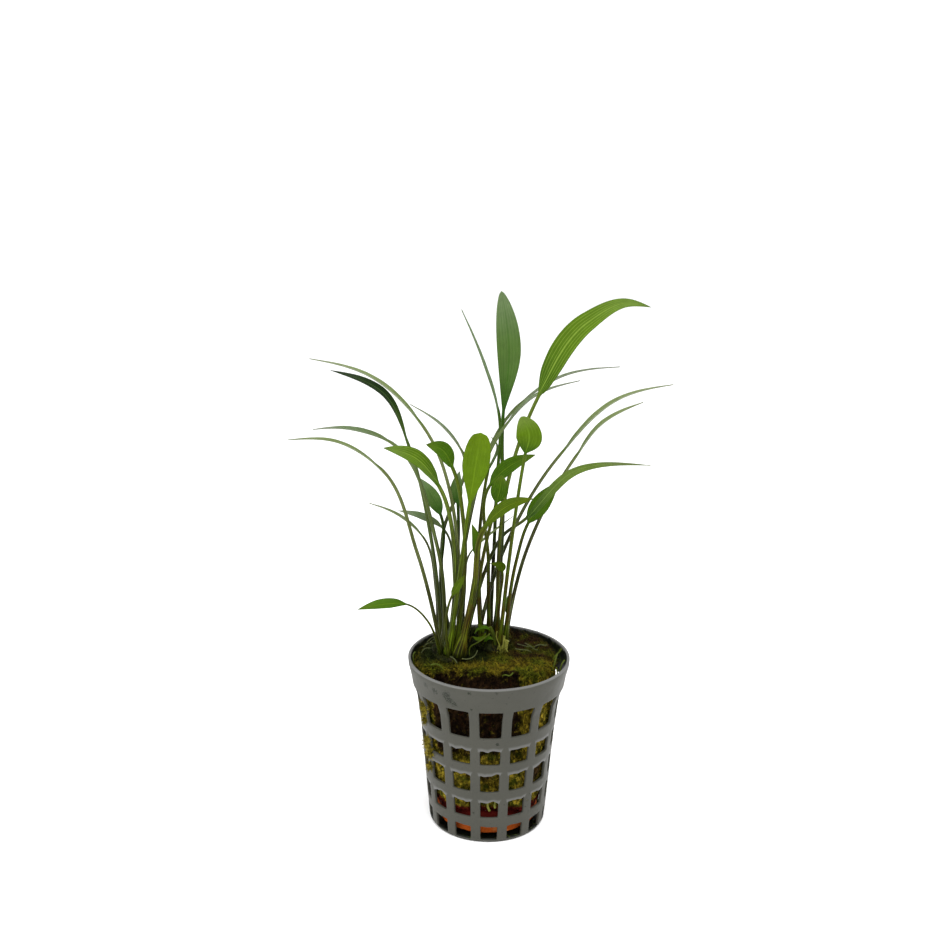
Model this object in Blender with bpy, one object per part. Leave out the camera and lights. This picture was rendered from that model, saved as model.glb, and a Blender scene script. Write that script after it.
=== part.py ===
"""A small water plant with narrow leaves, rooted in rock wool in a round lattice pot.

The origin is the middle of the pot's underside. +Z is up and the side shown
in the photograph looks towards -Y. Driving dimensions are in millimetres.
"""

import math

import bmesh
import bpy
from mathutils import Matrix, Vector
from mathutils.geometry import interpolate_bezier

MM = 0.001

# Pot
POT_HEIGHT = 57.5
RIM_RADIUS = 26.3
COLLAR_WAIST_RADIUS = 25.2
COLLAR_WAIST_HEIGHT = 51.0
COLLAR_FOOT_RADIUS = 24.75
COLLAR_FOOT_HEIGHT = 48.9
LATTICE_TOP_RADIUS = 23.3
LATTICE_TOP_HEIGHT = 45.0
POT_BASE_RADIUS = 19.1
POT_WALL = 0.9
WINDOW_COLUMNS = 14
WINDOW_TURN = math.radians(1.5)
RIB_WIDTH = 3.15
WIDEST_RIB_SHARE = 0.8
# Bottom and top of each row of windows, from the lowest row up.
WINDOW_ROWS = ((1.0, 6.2), (9.4, 15.8), (19.0, 25.9), (29.0, 34.7), (38.8, COLLAR_FOOT_HEIGHT))
SLOT_INNER_RADIUS = 6.5
SLOT_OUTER_RADIUS = 14.5

# Filling
CLAY_RADIUS = 16.2
CLAY_HEIGHT = 8.3
CLAY_EDGE = 0.8
CLAY_SIDES = 28
TOUCHING_GAP = 0.3
WOOL_TOP = 58.0
WOOL_FRONT = 13.0
WOOL_WALL_GAP = 0.6
WOOL_EDGE_ROUND = 2.0
WOOL_EDGE_INSET = 0.8
WOOL_LEVELS = (24.0, 36.0)
SLIT_MIDDLE = 10.6
SLIT_WIDTH = 1.2
SLIT_DEPTH = 6.0
ARC_POINTS = 22

# Crowns, the short stubs that the leaves grow from
CROWN_HEIGHT = 2.1
CROWN_LEFT_MIDDLE = (-12.5, 1.0)
CROWN_LEFT_SIZE = (12.0, 19.0)
CROWN_RIGHT_MIDDLE = (1.0, 8.0)
CROWN_RIGHT_SIZE = (12.0, 16.0)
CROWN_BOTTOM = WOOL_TOP + TOUCHING_GAP
CROWN_TOP_SHARE = 0.88
FOOT_GAP = 0.5
LEAF_FOOT_HEIGHT = CROWN_BOTTOM + CROWN_HEIGHT + FOOT_GAP

# Leaf cross sections
STALK_RADIUS = 0.62
STALK_TAPER = 0.75
BLADE_HALF_EDGE = 0.13
BLADE_HALF_CORE = 0.32
BLADE_FOLD = math.radians(16)
TIP_HALF_WIDTH = 0.25
STALK_STATIONS = 6
BLADE_STATIONS = (0.08, 0.2, 0.35, 0.5, 0.66, 0.8, 0.91, 0.97, 1.0)
CURVE_STEPS = 24


def material(name, colour, roughness):
    """A plain surface with the piece's own colour."""
    surface = bpy.data.materials.new(name)
    surface.use_nodes = True
    shader = surface.node_tree.nodes["Principled BSDF"]
    shader.inputs["Base Color"].default_value = (*colour, 1.0)
    shader.inputs["Roughness"].default_value = roughness
    shader.inputs["Metallic"].default_value = 0.0
    return surface


def add_piece(name, shape, surface, sharp_angle=40):
    """Put a finished bmesh, in millimetres, in the scene as a named piece."""
    bmesh.ops.scale(shape, vec=(MM, MM, MM), verts=shape.verts)
    bmesh.ops.recalc_face_normals(shape, faces=shape.faces)
    mesh = bpy.data.meshes.new(name)
    shape.to_mesh(mesh)
    shape.free()
    mesh.shade_smooth()
    mesh.set_sharp_from_angle(angle=math.radians(sharp_angle))
    mesh.materials.append(surface)
    piece = bpy.data.objects.new(name, mesh)
    bpy.context.scene.collection.objects.link(piece)
    return piece


def bridge_rings(shape, rings):
    """Join rings of equally many points, each to the next, with quads."""
    for lower, upper in zip(rings, rings[1:]):
        count = len(lower)
        for i in range(count):
            j = (i + 1) % count
            shape.faces.new((lower[i], lower[j], upper[j], upper[i]))


def pot_radius(height):
    """Outer radius of the lattice wall, which narrows evenly to the base."""
    share = height / LATTICE_TOP_HEIGHT
    return POT_BASE_RADIUS + (LATTICE_TOP_RADIUS - POT_BASE_RADIUS) * share


def pot_ring(shape, radius, height):
    """Two points for each rib, so that the ribs keep one width all the way down.

    Near the middle of the floor the ribs take a set share of their column instead.
    """
    ring = []
    pitch = math.tau / WINDOW_COLUMNS
    half_rib = 0.5 * min(RIB_WIDTH / radius, WIDEST_RIB_SHARE * pitch)
    for column in range(WINDOW_COLUMNS):
        rib_angle = WINDOW_TURN + (column + 0.5) * pitch
        for angle in (rib_angle - half_rib, rib_angle + half_rib):
            ring.append(shape.verts.new((radius * math.sin(angle), -radius * math.cos(angle), height)))
    return ring


def build_pot():
    """One moulded sheet: collar, lattice of ribs and bands, and slotted floor."""
    shape = bmesh.new()
    outline = [
        (SLOT_INNER_RADIUS, 0.0, "slots"),
        (SLOT_OUTER_RADIUS, 0.0, "solid"),
        (POT_BASE_RADIUS, 0.0, "solid"),
    ]
    for bottom, top in WINDOW_ROWS:
        outline.append((pot_radius(bottom), bottom, "windows"))
        if top < COLLAR_FOOT_HEIGHT:
            outline.append((pot_radius(top), top, "solid"))
    outline.append((LATTICE_TOP_RADIUS, LATTICE_TOP_HEIGHT, "windows"))
    outline.append((COLLAR_FOOT_RADIUS, COLLAR_FOOT_HEIGHT, "solid"))
    outline.append((COLLAR_WAIST_RADIUS, COLLAR_WAIST_HEIGHT, "solid"))
    outline.append((RIM_RADIUS, POT_HEIGHT, "rim"))

    rings = [pot_ring(shape, radius, height) for radius, height, _ in outline]
    shape.faces.new(rings[0])
    for (_, _, kind), lower, upper in zip(outline, rings, rings[1:]):
        for i in range(2 * WINDOW_COLUMNS):
            j = (i + 1) % (2 * WINDOW_COLUMNS)
            between_ribs = i % 2 == 1
            if kind == "windows" and between_ribs:
                continue
            if kind == "slots" and i % 4 == 1:
                continue
            shape.faces.new((lower[i], lower[j], upper[j], upper[i]))
    pot = add_piece("pot", shape, material("pot_grey_plastic", (0.16, 0.16, 0.165), 0.45))
    wall = pot.modifiers.new("wall", "SOLIDIFY")
    wall.thickness = POT_WALL * MM
    wall.offset = -1.0
    wall.use_even_offset = True
    return pot


def build_clay_disc():
    """A fired clay disc on the pot's floor, under the rock wool."""
    shape = bmesh.new()
    bottom = POT_WALL + TOUCHING_GAP
    outline = (
        (CLAY_RADIUS - CLAY_EDGE, bottom), (CLAY_RADIUS, bottom + CLAY_EDGE),
        (CLAY_RADIUS, bottom + CLAY_HEIGHT - CLAY_EDGE), (CLAY_RADIUS - CLAY_EDGE, bottom + CLAY_HEIGHT),
    )
    rings = []
    for radius, height in outline:
        angles = [math.tau * k / CLAY_SIDES for k in range(CLAY_SIDES)]
        rings.append([shape.verts.new((radius * math.cos(a), radius * math.sin(a), height)) for a in angles])
    bridge_rings(shape, rings)
    shape.faces.new(rings[-1])
    shape.faces.new(list(reversed(rings[0])))
    return add_piece("clay_disc", shape, material("clay_fired_orange", (0.42, 0.11, 0.04), 0.85))


def wool_outline(radius):
    """Round at the back and sides, flat in front, with a slit cut in from the front."""
    corner = math.asin(WOOL_FRONT / radius)
    points = []
    for k in range(ARC_POINTS + 1):
        angle = -corner + (math.pi + 2 * corner) * k / ARC_POINTS
        points.append((radius * math.cos(angle), radius * math.sin(angle)))
    slit_left = SLIT_MIDDLE - 0.5 * SLIT_WIDTH
    slit_right = SLIT_MIDDLE + 0.5 * SLIT_WIDTH
    left_corner = points[ARC_POINTS][0]
    for share in (1 / 3, 2 / 3):
        points.append((left_corner + (slit_left - left_corner) * share, -WOOL_FRONT))
    points.append((slit_left, -WOOL_FRONT))
    points.append((slit_left, SLIT_DEPTH - WOOL_FRONT))
    points.append((slit_right, SLIT_DEPTH - WOOL_FRONT))
    points.append((slit_right, -WOOL_FRONT))
    return points


def build_rock_wool():
    """The plug that holds the roots: as wide as the pot allows, and tapered with it."""
    shape = bmesh.new()
    bottom = POT_WALL + CLAY_HEIGHT + 2 * TOUCHING_GAP
    heights = (bottom, *WOOL_LEVELS, LATTICE_TOP_HEIGHT, WOOL_TOP - WOOL_EDGE_ROUND)
    rings = []
    for height in heights:
        radius = pot_radius(min(height, LATTICE_TOP_HEIGHT)) - POT_WALL - WOOL_WALL_GAP
        rings.append([shape.verts.new((x, y, height)) for x, y in wool_outline(radius)])
    top_outline = wool_outline(LATTICE_TOP_RADIUS - POT_WALL - WOOL_WALL_GAP - WOOL_EDGE_INSET)
    rings.append([shape.verts.new((x, y, WOOL_TOP)) for x, y in top_outline])
    bridge_rings(shape, rings)
    shape.faces.new(rings[-1])
    shape.faces.new(list(reversed(rings[0])))
    return add_piece("rock_wool", shape, material("rock_wool_mossy", (0.17, 0.13, 0.03), 0.95))


def build_crown(name, middle, size):
    """A low rounded stub that lies on the wool and carries one clump of leaves."""
    shape = bmesh.new()
    lift = CROWN_BOTTOM + 0.5 * CROWN_HEIGHT
    place = Matrix.Translation((*middle, lift)) @ Matrix.Diagonal((size[0], size[1], CROWN_HEIGHT, 1.0))
    top = 0.5 * CROWN_TOP_SHARE
    bmesh.ops.create_cone(shape, cap_ends=True, segments=16, radius1=0.5, radius2=top, depth=1, matrix=place)
    return add_piece(name, shape, material("crown_brown_green", (0.05, 0.06, 0.02), 0.8))


def smooth_route(points):
    """Points close together on one smooth curve through the given ones."""
    spans = [(b - a).length for a, b in zip(points, points[1:])]
    slopes = [(b - a) / span for a, b, span in zip(points, points[1:], spans)]
    tangents = []
    for before, after, slope_in, slope_out in zip(spans, spans[1:], slopes, slopes[1:]):
        tangents.append((slope_in * after + slope_out * before) / (before + after))
    tangents.insert(0, 1.5 * slopes[0] - 0.5 * tangents[0])
    tangents.append(1.5 * slopes[-1] - 0.5 * tangents[-1])
    pieces = []
    for i, span in enumerate(spans):
        handle_out = points[i] + tangents[i] * span / 3
        handle_in = points[i + 1] - tangents[i + 1] * span / 3
        pieces.append(interpolate_bezier(points[i], handle_out, handle_in, points[i + 1], CURVE_STEPS))
    return pieces


def point_at(curve, share):
    """Place and direction at a share of a curve's length."""
    lengths = [0.0]
    for a, b in zip(curve, curve[1:]):
        lengths.append(lengths[-1] + (b - a).length)
    goal = share * lengths[-1]
    for i in range(len(curve) - 1):
        if lengths[i + 1] >= goal - 1e-9:
            step = lengths[i + 1] - lengths[i]
            inside = (goal - lengths[i]) / step
            return curve[i].lerp(curve[i + 1], inside), (curve[i + 1] - curve[i]).normalized()
    return curve[-1].copy(), (curve[-1] - curve[-2]).normalized()


def blade_share(along, widest, tip_point):
    """Half width of the blade along its length, as a share of its widest half width."""
    bend = math.log(0.5) / math.log(widest)
    share = max(0.0, math.sin(math.pi * along ** bend))
    return share if along < widest else share ** tip_point


def build_leaf(name, foot, middle, collar, blade, tip, width, faces=(0, 0, 1), stalk=STALK_RADIUS,
               widest=0.42, tip_point=0.9):
    """One leaf, grown as one piece: a round stalk that widens into a folded blade.

    foot, middle, collar, blade and tip are points on its midrib: the stalk's foot
    on the crown, the stalk's middle, where the blade begins, the blade's middle and
    its tip. faces is the way that the blade's upper side looks at the collar. A
    small tip_point makes the tip blunt.
    """
    route = [Vector((*foot, LEAF_FOOT_HEIGHT)), Vector(middle), Vector(collar), Vector(blade), Vector(tip)]
    curves = smooth_route(route)
    stalk_curve = curves[0] + curves[1][1:]
    blade_curve = curves[2] + curves[3][1:]

    stations = []
    for k in range(STALK_STATIONS + 1):
        share = k / STALK_STATIONS
        place, way = point_at(stalk_curve, share)
        radius = stalk * (1 - (1 - STALK_TAPER) * share)
        stations.append((place, way, radius * math.cos(math.radians(30)), 0.5 * radius, radius, 0.0))
    collar_radius = stalk * STALK_TAPER
    for share in BLADE_STATIONS:
        place, way = point_at(blade_curve, share)
        reach = 0.5 * width * blade_share(share, widest, tip_point)
        reach = max(reach, collar_radius * (1 - share), TIP_HALF_WIDTH)
        flat = min(1.0, share / BLADE_STATIONS[1])
        edge = 0.5 * collar_radius + (BLADE_HALF_EDGE - 0.5 * collar_radius) * flat
        core = collar_radius + (BLADE_HALF_CORE - collar_radius) * flat
        core = core + (BLADE_HALF_EDGE - core) * share ** 2
        stations.append((place, way, reach, edge, core, reach * math.tan(BLADE_FOLD) * flat))

    way_at_collar = stations[STALK_STATIONS][1]
    side = way_at_collar.cross(Vector(faces)).normalized()
    sides = {STALK_STATIONS: side}
    for k in range(STALK_STATIONS + 1, len(stations)):
        turn = stations[k - 1][1].rotation_difference(stations[k][1])
        sides[k] = turn @ sides[k - 1]
    for k in range(STALK_STATIONS - 1, -1, -1):
        turn = stations[k + 1][1].rotation_difference(stations[k][1])
        sides[k] = turn @ sides[k + 1]

    shape = bmesh.new()
    rings = []
    for k, (place, way, reach, edge, core, lift) in enumerate(stations):
        across = sides[k]
        up = across.cross(way)
        section = (
            (reach, lift + edge), (0.0, core), (-reach, lift + edge),
            (-reach, lift - edge), (0.0, -core), (reach, lift - edge),
        )
        rings.append([shape.verts.new(place + across * x + up * y) for x, y in section])
    bridge_rings(shape, rings)
    shape.faces.new(list(reversed(rings[0])))
    shape.faces.new(rings[-1])
    return add_piece(name, shape, LEAF_GREEN, sharp_angle=50)


for leftover in list(bpy.data.objects):
    bpy.data.objects.remove(leftover, do_unlink=True)

LEAF_GREEN = material("leaf_green", (0.09, 0.2, 0.02), 0.4)

build_pot()
build_clay_disc()
build_rock_wool()
build_crown("crown_left", CROWN_LEFT_MIDDLE, CROWN_LEFT_SIZE)
build_crown("crown_right", CROWN_RIGHT_MIDDLE, CROWN_RIGHT_SIZE)

# Leaves of the right-hand clump
build_leaf("leaf_tall_middle", foot=(2, 10.5), middle=(4, 10, 102), collar=(3.5, 15, 138),
           blade=(5.5, 15, 156), tip=(2.5, 13, 174.5), width=8, faces=(0, -1, 0.1), stalk=0.75)
build_leaf("leaf_tall_thin", foot=(0.5, 14.5), middle=(2, 18, 110), collar=(2.5, 20.5, 133),
           blade=(-2.5, 23, 149), tip=(-10, 26, 166.5), width=5, faces=(1, 0.1, 0.3))
build_leaf("leaf_high_right", foot=(3, 5.5), middle=(6.5, 5, 120), collar=(13.5, 0, 142),
           blade=(29, -7.5, 169), tip=(44, -12, 175), width=7.5, faces=(-0.5, -0.8, 0.3), stalk=0.75,
           widest=0.38)
build_leaf("leaf_right_arch_upper", foot=(-3.5, 9.5), middle=(5, 12.5, 90.5), collar=(22, 13.5, 121.5),
           blade=(40.5, 16, 139.5), tip=(58.5, 19, 144), width=5, faces=(-0.7, 0, 0.7), widest=0.52)
build_leaf("leaf_right_arch_lower", foot=(5.5, 7.5), middle=(12, 8, 91.5), collar=(26.5, 7.5, 122.5),
           blade=(34, 6, 133.5), tip=(47, 3, 142), width=4, faces=(-0.8, 0, 0.6))
build_leaf("leaf_right_dark", foot=(5.5, 4), middle=(8.5, 5, 88.5), collar=(12, 5.5, 101),
           blade=(17, 5.5, 109), tip=(21.5, 4, 115.5), width=6, faces=(-0.4, -0.9, 0))
build_leaf("leaf_right_cupped", foot=(3.5, 1.5), middle=(7, -5, 102.5), collar=(10, -12, 129),
           blade=(11, -13.5, 135.5), tip=(8.5, -13, 141), width=7.8, faces=(0, -1, 0.2), widest=0.5,
           tip_point=0.6)
build_leaf("leaf_right_pointed", foot=(0, 8), middle=(-0.5, 5, 88), collar=(-0.5, 0.5, 115),
           blade=(5.5, -3, 122.5), tip=(13.5, -7, 127.5), width=5, faces=(-0.3, -0.8, 0.6))
build_leaf("leaf_right_small", foot=(-2.5, 5), middle=(-3.5, 1.5, 80), collar=(1.5, -4, 110.5),
           blade=(2.5, -7, 116), tip=(3, -11, 122), width=5.5, faces=(0, -1, 0.2), widest=0.5, tip_point=0.6)
build_leaf("leaf_hooked", foot=(-2.5, 13.5), middle=(-3, 15.5, 100), collar=(-1, 15, 115),
           blade=(1.5, 15.5, 125), tip=(0, 17, 126.5), width=2.5, faces=(0.9, -0.4, 0))
build_leaf("leaf_young_curled", foot=(2, 4), middle=(3.5, 2, 78), collar=(4, 1, 86),
           blade=(3, -0.5, 89.3), tip=(0, -2, 90), width=3, faces=(0, -1, 0.5), stalk=0.5)

# Leaves of the left-hand clump
build_leaf("leaf_back_right_long", foot=(-10, 11.5), middle=(-7, 15, 99), collar=(8, 24, 134.5),
           blade=(22, 27, 144), tip=(42.5, 31, 147), width=4, faces=(-0.6, 0.1, 0.8))
build_leaf("leaf_back_right_short", foot=(-9, 4), middle=(-7.5, 7, 97), collar=(4, 12, 131),
           blade=(12, 14.5, 139.5), tip=(28.5, 19, 145), width=4, faces=(-0.75, 0, 0.65))
build_leaf("leaf_right_low_arch", foot=(-7.5, 6.5), middle=(4, 12.8, 94), collar=(11, 2.5, 103.5),
           blade=(26, -5, 122), tip=(48, -16, 127), width=3.2, faces=(0.2, 0.8, 0.4), widest=0.25)
build_leaf("leaf_front_olive", foot=(-9.5, -6), middle=(-5, -8.5, 84), collar=(-2, -11, 105),
           blade=(4, -14, 112.5), tip=(12.5, -20, 117.5), width=4.5, faces=(-0.4, -0.6, 0.7), stalk=1.0)
build_leaf("leaf_front_bright", foot=(-13, -5), middle=(-9.5, -6.5, 88), collar=(-7, -9, 109.5),
           blade=(-5, -12, 125), tip=(-3.5, -17, 137), width=8.6, faces=(0, -1, 0.1), stalk=0.8,
           widest=0.62, tip_point=0.3)
build_leaf("leaf_left_small_upper", foot=(-11, -1.5), middle=(-8.5, -4.5, 104), collar=(-12, -7, 123),
           blade=(-15, -9, 129), tip=(-20, -13, 132), width=5.5, faces=(0.3, -0.7, 0.7))
build_leaf("leaf_left_front_broad", foot=(-13, -2), middle=(-11.5, -4, 97.5), collar=(-16, -9, 117.5),
           blade=(-23, -13, 127.5), tip=(-32.5, -19, 132.5), width=6.2, faces=(0.3, -0.5, 0.8))
build_leaf("leaf_left_back_broad", foot=(-15, 8), middle=(-16, 9, 82), collar=(-16, 10, 102),
           blade=(-19, 12, 107.5), tip=(-23, 15, 113), width=5, faces=(0.4, -0.9, 0.2))
build_leaf("leaf_middle_dark", foot=(-12, 9.5), middle=(-10.5, 9.5, 86), collar=(-10.5, 9, 106),
           blade=(-11, 9.5, 111.5), tip=(-10, 10, 117), width=4, faces=(0, -1, 0))
build_leaf("leaf_back_left_bent", foot=(-13.5, 11.5), middle=(-15.5, 15, 93.5), collar=(-9, 23, 119),
           blade=(-14.5, 26, 126), tip=(-27, 32, 133.5), width=3.5, faces=(0.5, 0.1, 0.8))
build_leaf("leaf_left_long", foot=(-12.5, 1.5), middle=(-10.5, 4, 95.5), collar=(-21.5, 9.5, 131.5),
           blade=(-37.5, 14, 146), tip=(-58.5, 18, 151.5), width=4.5, faces=(0.6, 0, 0.8))
build_leaf("leaf_left_dark", foot=(-15.5, 3.5), middle=(-19, 3, 97), collar=(-26, 4, 127),
           blade=(-33.5, 3.5, 143.5), tip=(-50, 1, 151.5), width=4.5, faces=(0.5, -0.4, 0.8))
build_leaf("leaf_left_arch", foot=(-14.5, 0.5), middle=(-17, -1, 96), collar=(-31, 1, 128.5),
           blade=(-43, 5, 131.5), tip=(-57, 11, 130), width=4.4, faces=(0.3, -0.1, 1))
build_leaf("leaf_far_left", foot=(-15.5, -3.5), middle=(-23, -8, 96), collar=(-33, -12.5, 123.5),
           blade=(-46, -17, 133.5), tip=(-60.5, -22, 135.5), width=2.8, faces=(0.5, 0, 0.9))
build_leaf("leaf_left_thin", foot=(-17, 5), middle=(-17.5, 6, 78), collar=(-21.5, 8, 95),
           blade=(-29, 9.5, 101.5), tip=(-39.5, 13, 105), width=3, faces=(0.5, 0, 0.9), stalk=0.5)
build_leaf("leaf_left_narrow", foot=(-12.5, 6.5), middle=(-11.5, 7.5, 80), collar=(-15.5, 12, 97),
           blade=(-22, 15, 99.5), tip=(-30.5, 19, 100.5), width=4, faces=(0.2, -0.3, 1), stalk=0.5)
build_leaf("leaf_left_low", foot=(-16, -5), middle=(-19.5, -7, 72), collar=(-26, -11, 79.5),
           blade=(-33.5, -14, 80.5), tip=(-41, -17, 80), width=4.2, faces=(0, -0.5, 1), stalk=0.4)
build_leaf("leaf_young_front", foot=(-13, -7), middle=(-13.5, -9, 76), collar=(-12, -10, 82),
           blade=(-10, -10.5, 86), tip=(-8, -11, 89.5), width=2.5, faces=(0, -1, 0), stalk=0.5)
build_leaf("leaf_young_middle", foot=(-8, 3), middle=(-6.5, 3, 74), collar=(-4.5, 1.5, 91),
           blade=(-4.5, 1, 97.5), tip=(-6, 2, 102), width=3, faces=(0, -1, 0), stalk=0.5)
build_leaf("leaf_young_thin", foot=(-8.5, 8), middle=(-8, 9, 76), collar=(-6.5, 10, 89),
           blade=(0, 13, 94.5), tip=(7.5, 16, 100), width=1.5, faces=(0, 0, 1), stalk=0.4)
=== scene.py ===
import math

import bmesh
import bpy
from mathutils import Matrix, Vector
from mathutils.geometry import interpolate_bezier


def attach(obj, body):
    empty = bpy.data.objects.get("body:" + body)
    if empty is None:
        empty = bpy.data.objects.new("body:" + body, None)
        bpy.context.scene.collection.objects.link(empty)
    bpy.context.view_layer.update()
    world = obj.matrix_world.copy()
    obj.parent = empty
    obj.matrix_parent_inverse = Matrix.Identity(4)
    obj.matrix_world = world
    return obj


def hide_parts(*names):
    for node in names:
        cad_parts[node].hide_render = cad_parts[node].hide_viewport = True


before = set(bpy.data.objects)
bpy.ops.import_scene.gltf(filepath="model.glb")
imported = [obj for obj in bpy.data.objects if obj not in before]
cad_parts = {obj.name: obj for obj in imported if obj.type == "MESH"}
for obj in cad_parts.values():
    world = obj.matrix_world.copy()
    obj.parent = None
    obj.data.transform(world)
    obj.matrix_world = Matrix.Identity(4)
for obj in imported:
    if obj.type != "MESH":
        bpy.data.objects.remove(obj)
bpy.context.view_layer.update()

# Camera, floor and light. The pot stands on a white paper sweep in even, soft
# light from all sides, with one large lamp above and in front and a weaker one at
# the left, and the camera looks a little down on it.

camera_data = bpy.data.cameras.new("camera")
camera_data.sensor_width = 36
camera_data.lens = 52.2
camera = bpy.data.objects.new("camera", camera_data)
camera_tilt = Matrix.Rotation(math.radians(73.3), 4, "X") @ Matrix.Rotation(math.radians(0.57), 4, "Z")
camera.matrix_world = Matrix.Translation((-0.0051, -0.4124, 0.24243)) @ camera_tilt
bpy.context.scene.collection.objects.link(camera)
bpy.context.scene.camera = camera
bpy.context.scene.view_settings.view_transform = "Standard"


class Value:
    """An output of a node. Sums with it, and its methods, add nodes to its graph."""

    def __init__(self, graph, socket):
        self.graph = graph
        self.socket = socket

    def beside(self, label):
        """Another output of the same node."""
        return Value(self.graph, self.socket.node.outputs[label])

    def __add__(self, other):
        return self.graph.math("ADD", self, other)

    def __sub__(self, other):
        return self.graph.math("SUBTRACT", self, other)

    def __rsub__(self, other):
        return self.graph.math("SUBTRACT", other, self)

    def __mul__(self, other):
        return self.graph.math("MULTIPLY", self, other)

    def __truediv__(self, other):
        return self.graph.math("DIVIDE", self, other)

    def __rtruediv__(self, other):
        return self.graph.math("DIVIDE", other, self)

    def __pow__(self, other):
        return self.graph.math("POWER", self, other)

    def __abs__(self):
        return self.graph.math("ABSOLUTE", self)

    __rmul__ = __mul__

    def times_plus(self, factor, more):
        return self.graph.math("MULTIPLY_ADD", self, factor, more)

    def sine(self):
        return self.graph.math("SINE", self)

    def cosine(self):
        return self.graph.math("COSINE", self)

    def clamped(self):
        return self.graph.add("ShaderNodeClamp", (self, 0.0, 1.0))

    def ease(self, low, high, to_low=0.0, to_high=1.0):
        """A smooth change from to_low to to_high while this value goes from low to high."""
        inputs = (self, low, high, to_low, to_high)
        return self.graph.add("ShaderNodeMapRange", inputs, interpolation_type="SMOOTHSTEP")

    def parts(self):
        """The x, y and z of a place."""
        axes = self.graph.add("ShaderNodeSeparateXYZ", (self,))
        return [axes.beside(label) for label in "XYZ"]


class Graph:
    """Wires one node tree. Values and numbers alike go to a node's live inputs."""

    def __init__(self, tree):
        self.tree = tree

    def add(self, kind, inputs=(), out=0, **settings):
        node = self.tree.nodes.new(kind)
        for label, value in settings.items():
            setattr(node, label, value)
        live = [socket for socket in node.inputs if socket.enabled]
        if isinstance(inputs, dict):
            named = {socket.name: socket for socket in reversed(live)}
            pairs = [(named[label], value) for label, value in inputs.items()]
        else:
            pairs = zip(live, inputs)
        for socket, value in pairs:
            if isinstance(value, Value):
                self.tree.links.new(value.socket, socket)
            elif value is not None:
                socket.default_value = value
        shown = [socket for socket in node.outputs if socket.enabled]
        if isinstance(out, str):
            return Value(self, next(socket for socket in shown if socket.name == out))
        return Value(self, shown[out]) if shown else None

    def math(self, operation, *values):
        return self.add("ShaderNodeMath", values, operation=operation)

    def larger(self, *values):
        return self.math("MAXIMUM", *values)

    def vector(self, operation, *values):
        return self.add("ShaderNodeVectorMath", values, operation=operation)

    def dot(self, a, b):
        return self.add("ShaderNodeVectorMath", (a, b), out="Value", operation="DOT_PRODUCT")

    def distance(self, a, b):
        return self.add("ShaderNodeVectorMath", (a, b), out="Value", operation="DISTANCE")

    def joined(self, x=0.0, y=0.0, z=0.0):
        return self.add("ShaderNodeCombineXYZ", (x, y, z))

    def blend(self, share, low, high):
        return self.add("ShaderNodeMix", (share, low, high), data_type="FLOAT")

    def tint(self, share, low, high, how="MIX"):
        low, high = [(*c, 1.0) if isinstance(c, tuple) and len(c) == 3 else c for c in (low, high)]
        return self.add("ShaderNodeMix", (share, low, high), data_type="RGBA", blend_type=how)

    def object_place(self):
        return self.add("ShaderNodeTexCoord", out="Object")

    def noise(self, place, scale, detail=2.0, roughness=0.5):
        inputs = {"Vector": place, "Scale": scale, "Detail": detail, "Roughness": roughness}
        return self.add("ShaderNodeTexNoise", inputs, out="Fac")

    def painted(self, label, out="Fac"):
        """A value that the mesh carries, read by a finish."""
        return self.add("ShaderNodeAttribute", out=out, attribute_name=label)

    def stored(self, label, kind="FLOAT"):
        """A value that a point carries, read by a geometry tree."""
        return self.add("GeometryNodeInputNamedAttribute", {"Name": label}, data_type=kind)

    def store(self, shape, label, value, kind="FLOAT"):
        inputs = {"Geometry": shape, "Name": label, "Value": value}
        return self.add("GeometryNodeStoreNamedAttribute", inputs, data_type=kind, domain="POINT")

    def moved(self, shape, **where):
        return self.add("GeometryNodeSetPosition", {"Geometry": shape, **where})

    def weld(self, shape, gap):
        return self.add("GeometryNodeMergeByDistance", {"Geometry": shape, "Distance": gap})

    def net(self, columns, rows):
        """A grid of points, with its two coordinates from 0 to 1."""
        sizes = {"Vertices X": columns, "Vertices Y": rows}
        shape = self.add("GeometryNodeMeshGrid", sizes, out="Mesh")
        return shape, *shape.beside("UV Map").parts()[:2]


def finish(name, roughness, specular=0.5):
    """A new material, with its graph and its shader, ready to be wired."""
    surface = bpy.data.materials.new(name)
    surface.use_nodes = True
    shader = surface.node_tree.nodes["Principled BSDF"]
    shader.inputs["Roughness"].default_value = roughness
    shader.inputs["Specular IOR Level"].default_value = specular
    return surface, Graph(surface.node_tree), shader


def wire(graph, shader, colour=None, roughness=None, relief=None, height=0.0001):
    """Join a colour, a roughness and a bump height, in metres, to a shader."""
    links = graph.tree.links
    if colour is not None:
        links.new(colour.socket, shader.inputs["Base Color"])
    if roughness is not None:
        links.new(roughness.socket, shader.inputs["Roughness"])
    if relief is not None:
        bump = graph.add("ShaderNodeBump", {"Strength": 1.0, "Distance": height, "Height": relief})
        links.new(bump.socket, shader.inputs["Normal"])


sweep_finish, graph, shader = finish("paper_white", 0.9)
paper = graph.tint(graph.noise(graph.object_place(), 900.0), (0.93, 0.93, 0.93), (0.95, 0.95, 0.95))
wire(graph, shader, paper)

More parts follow.
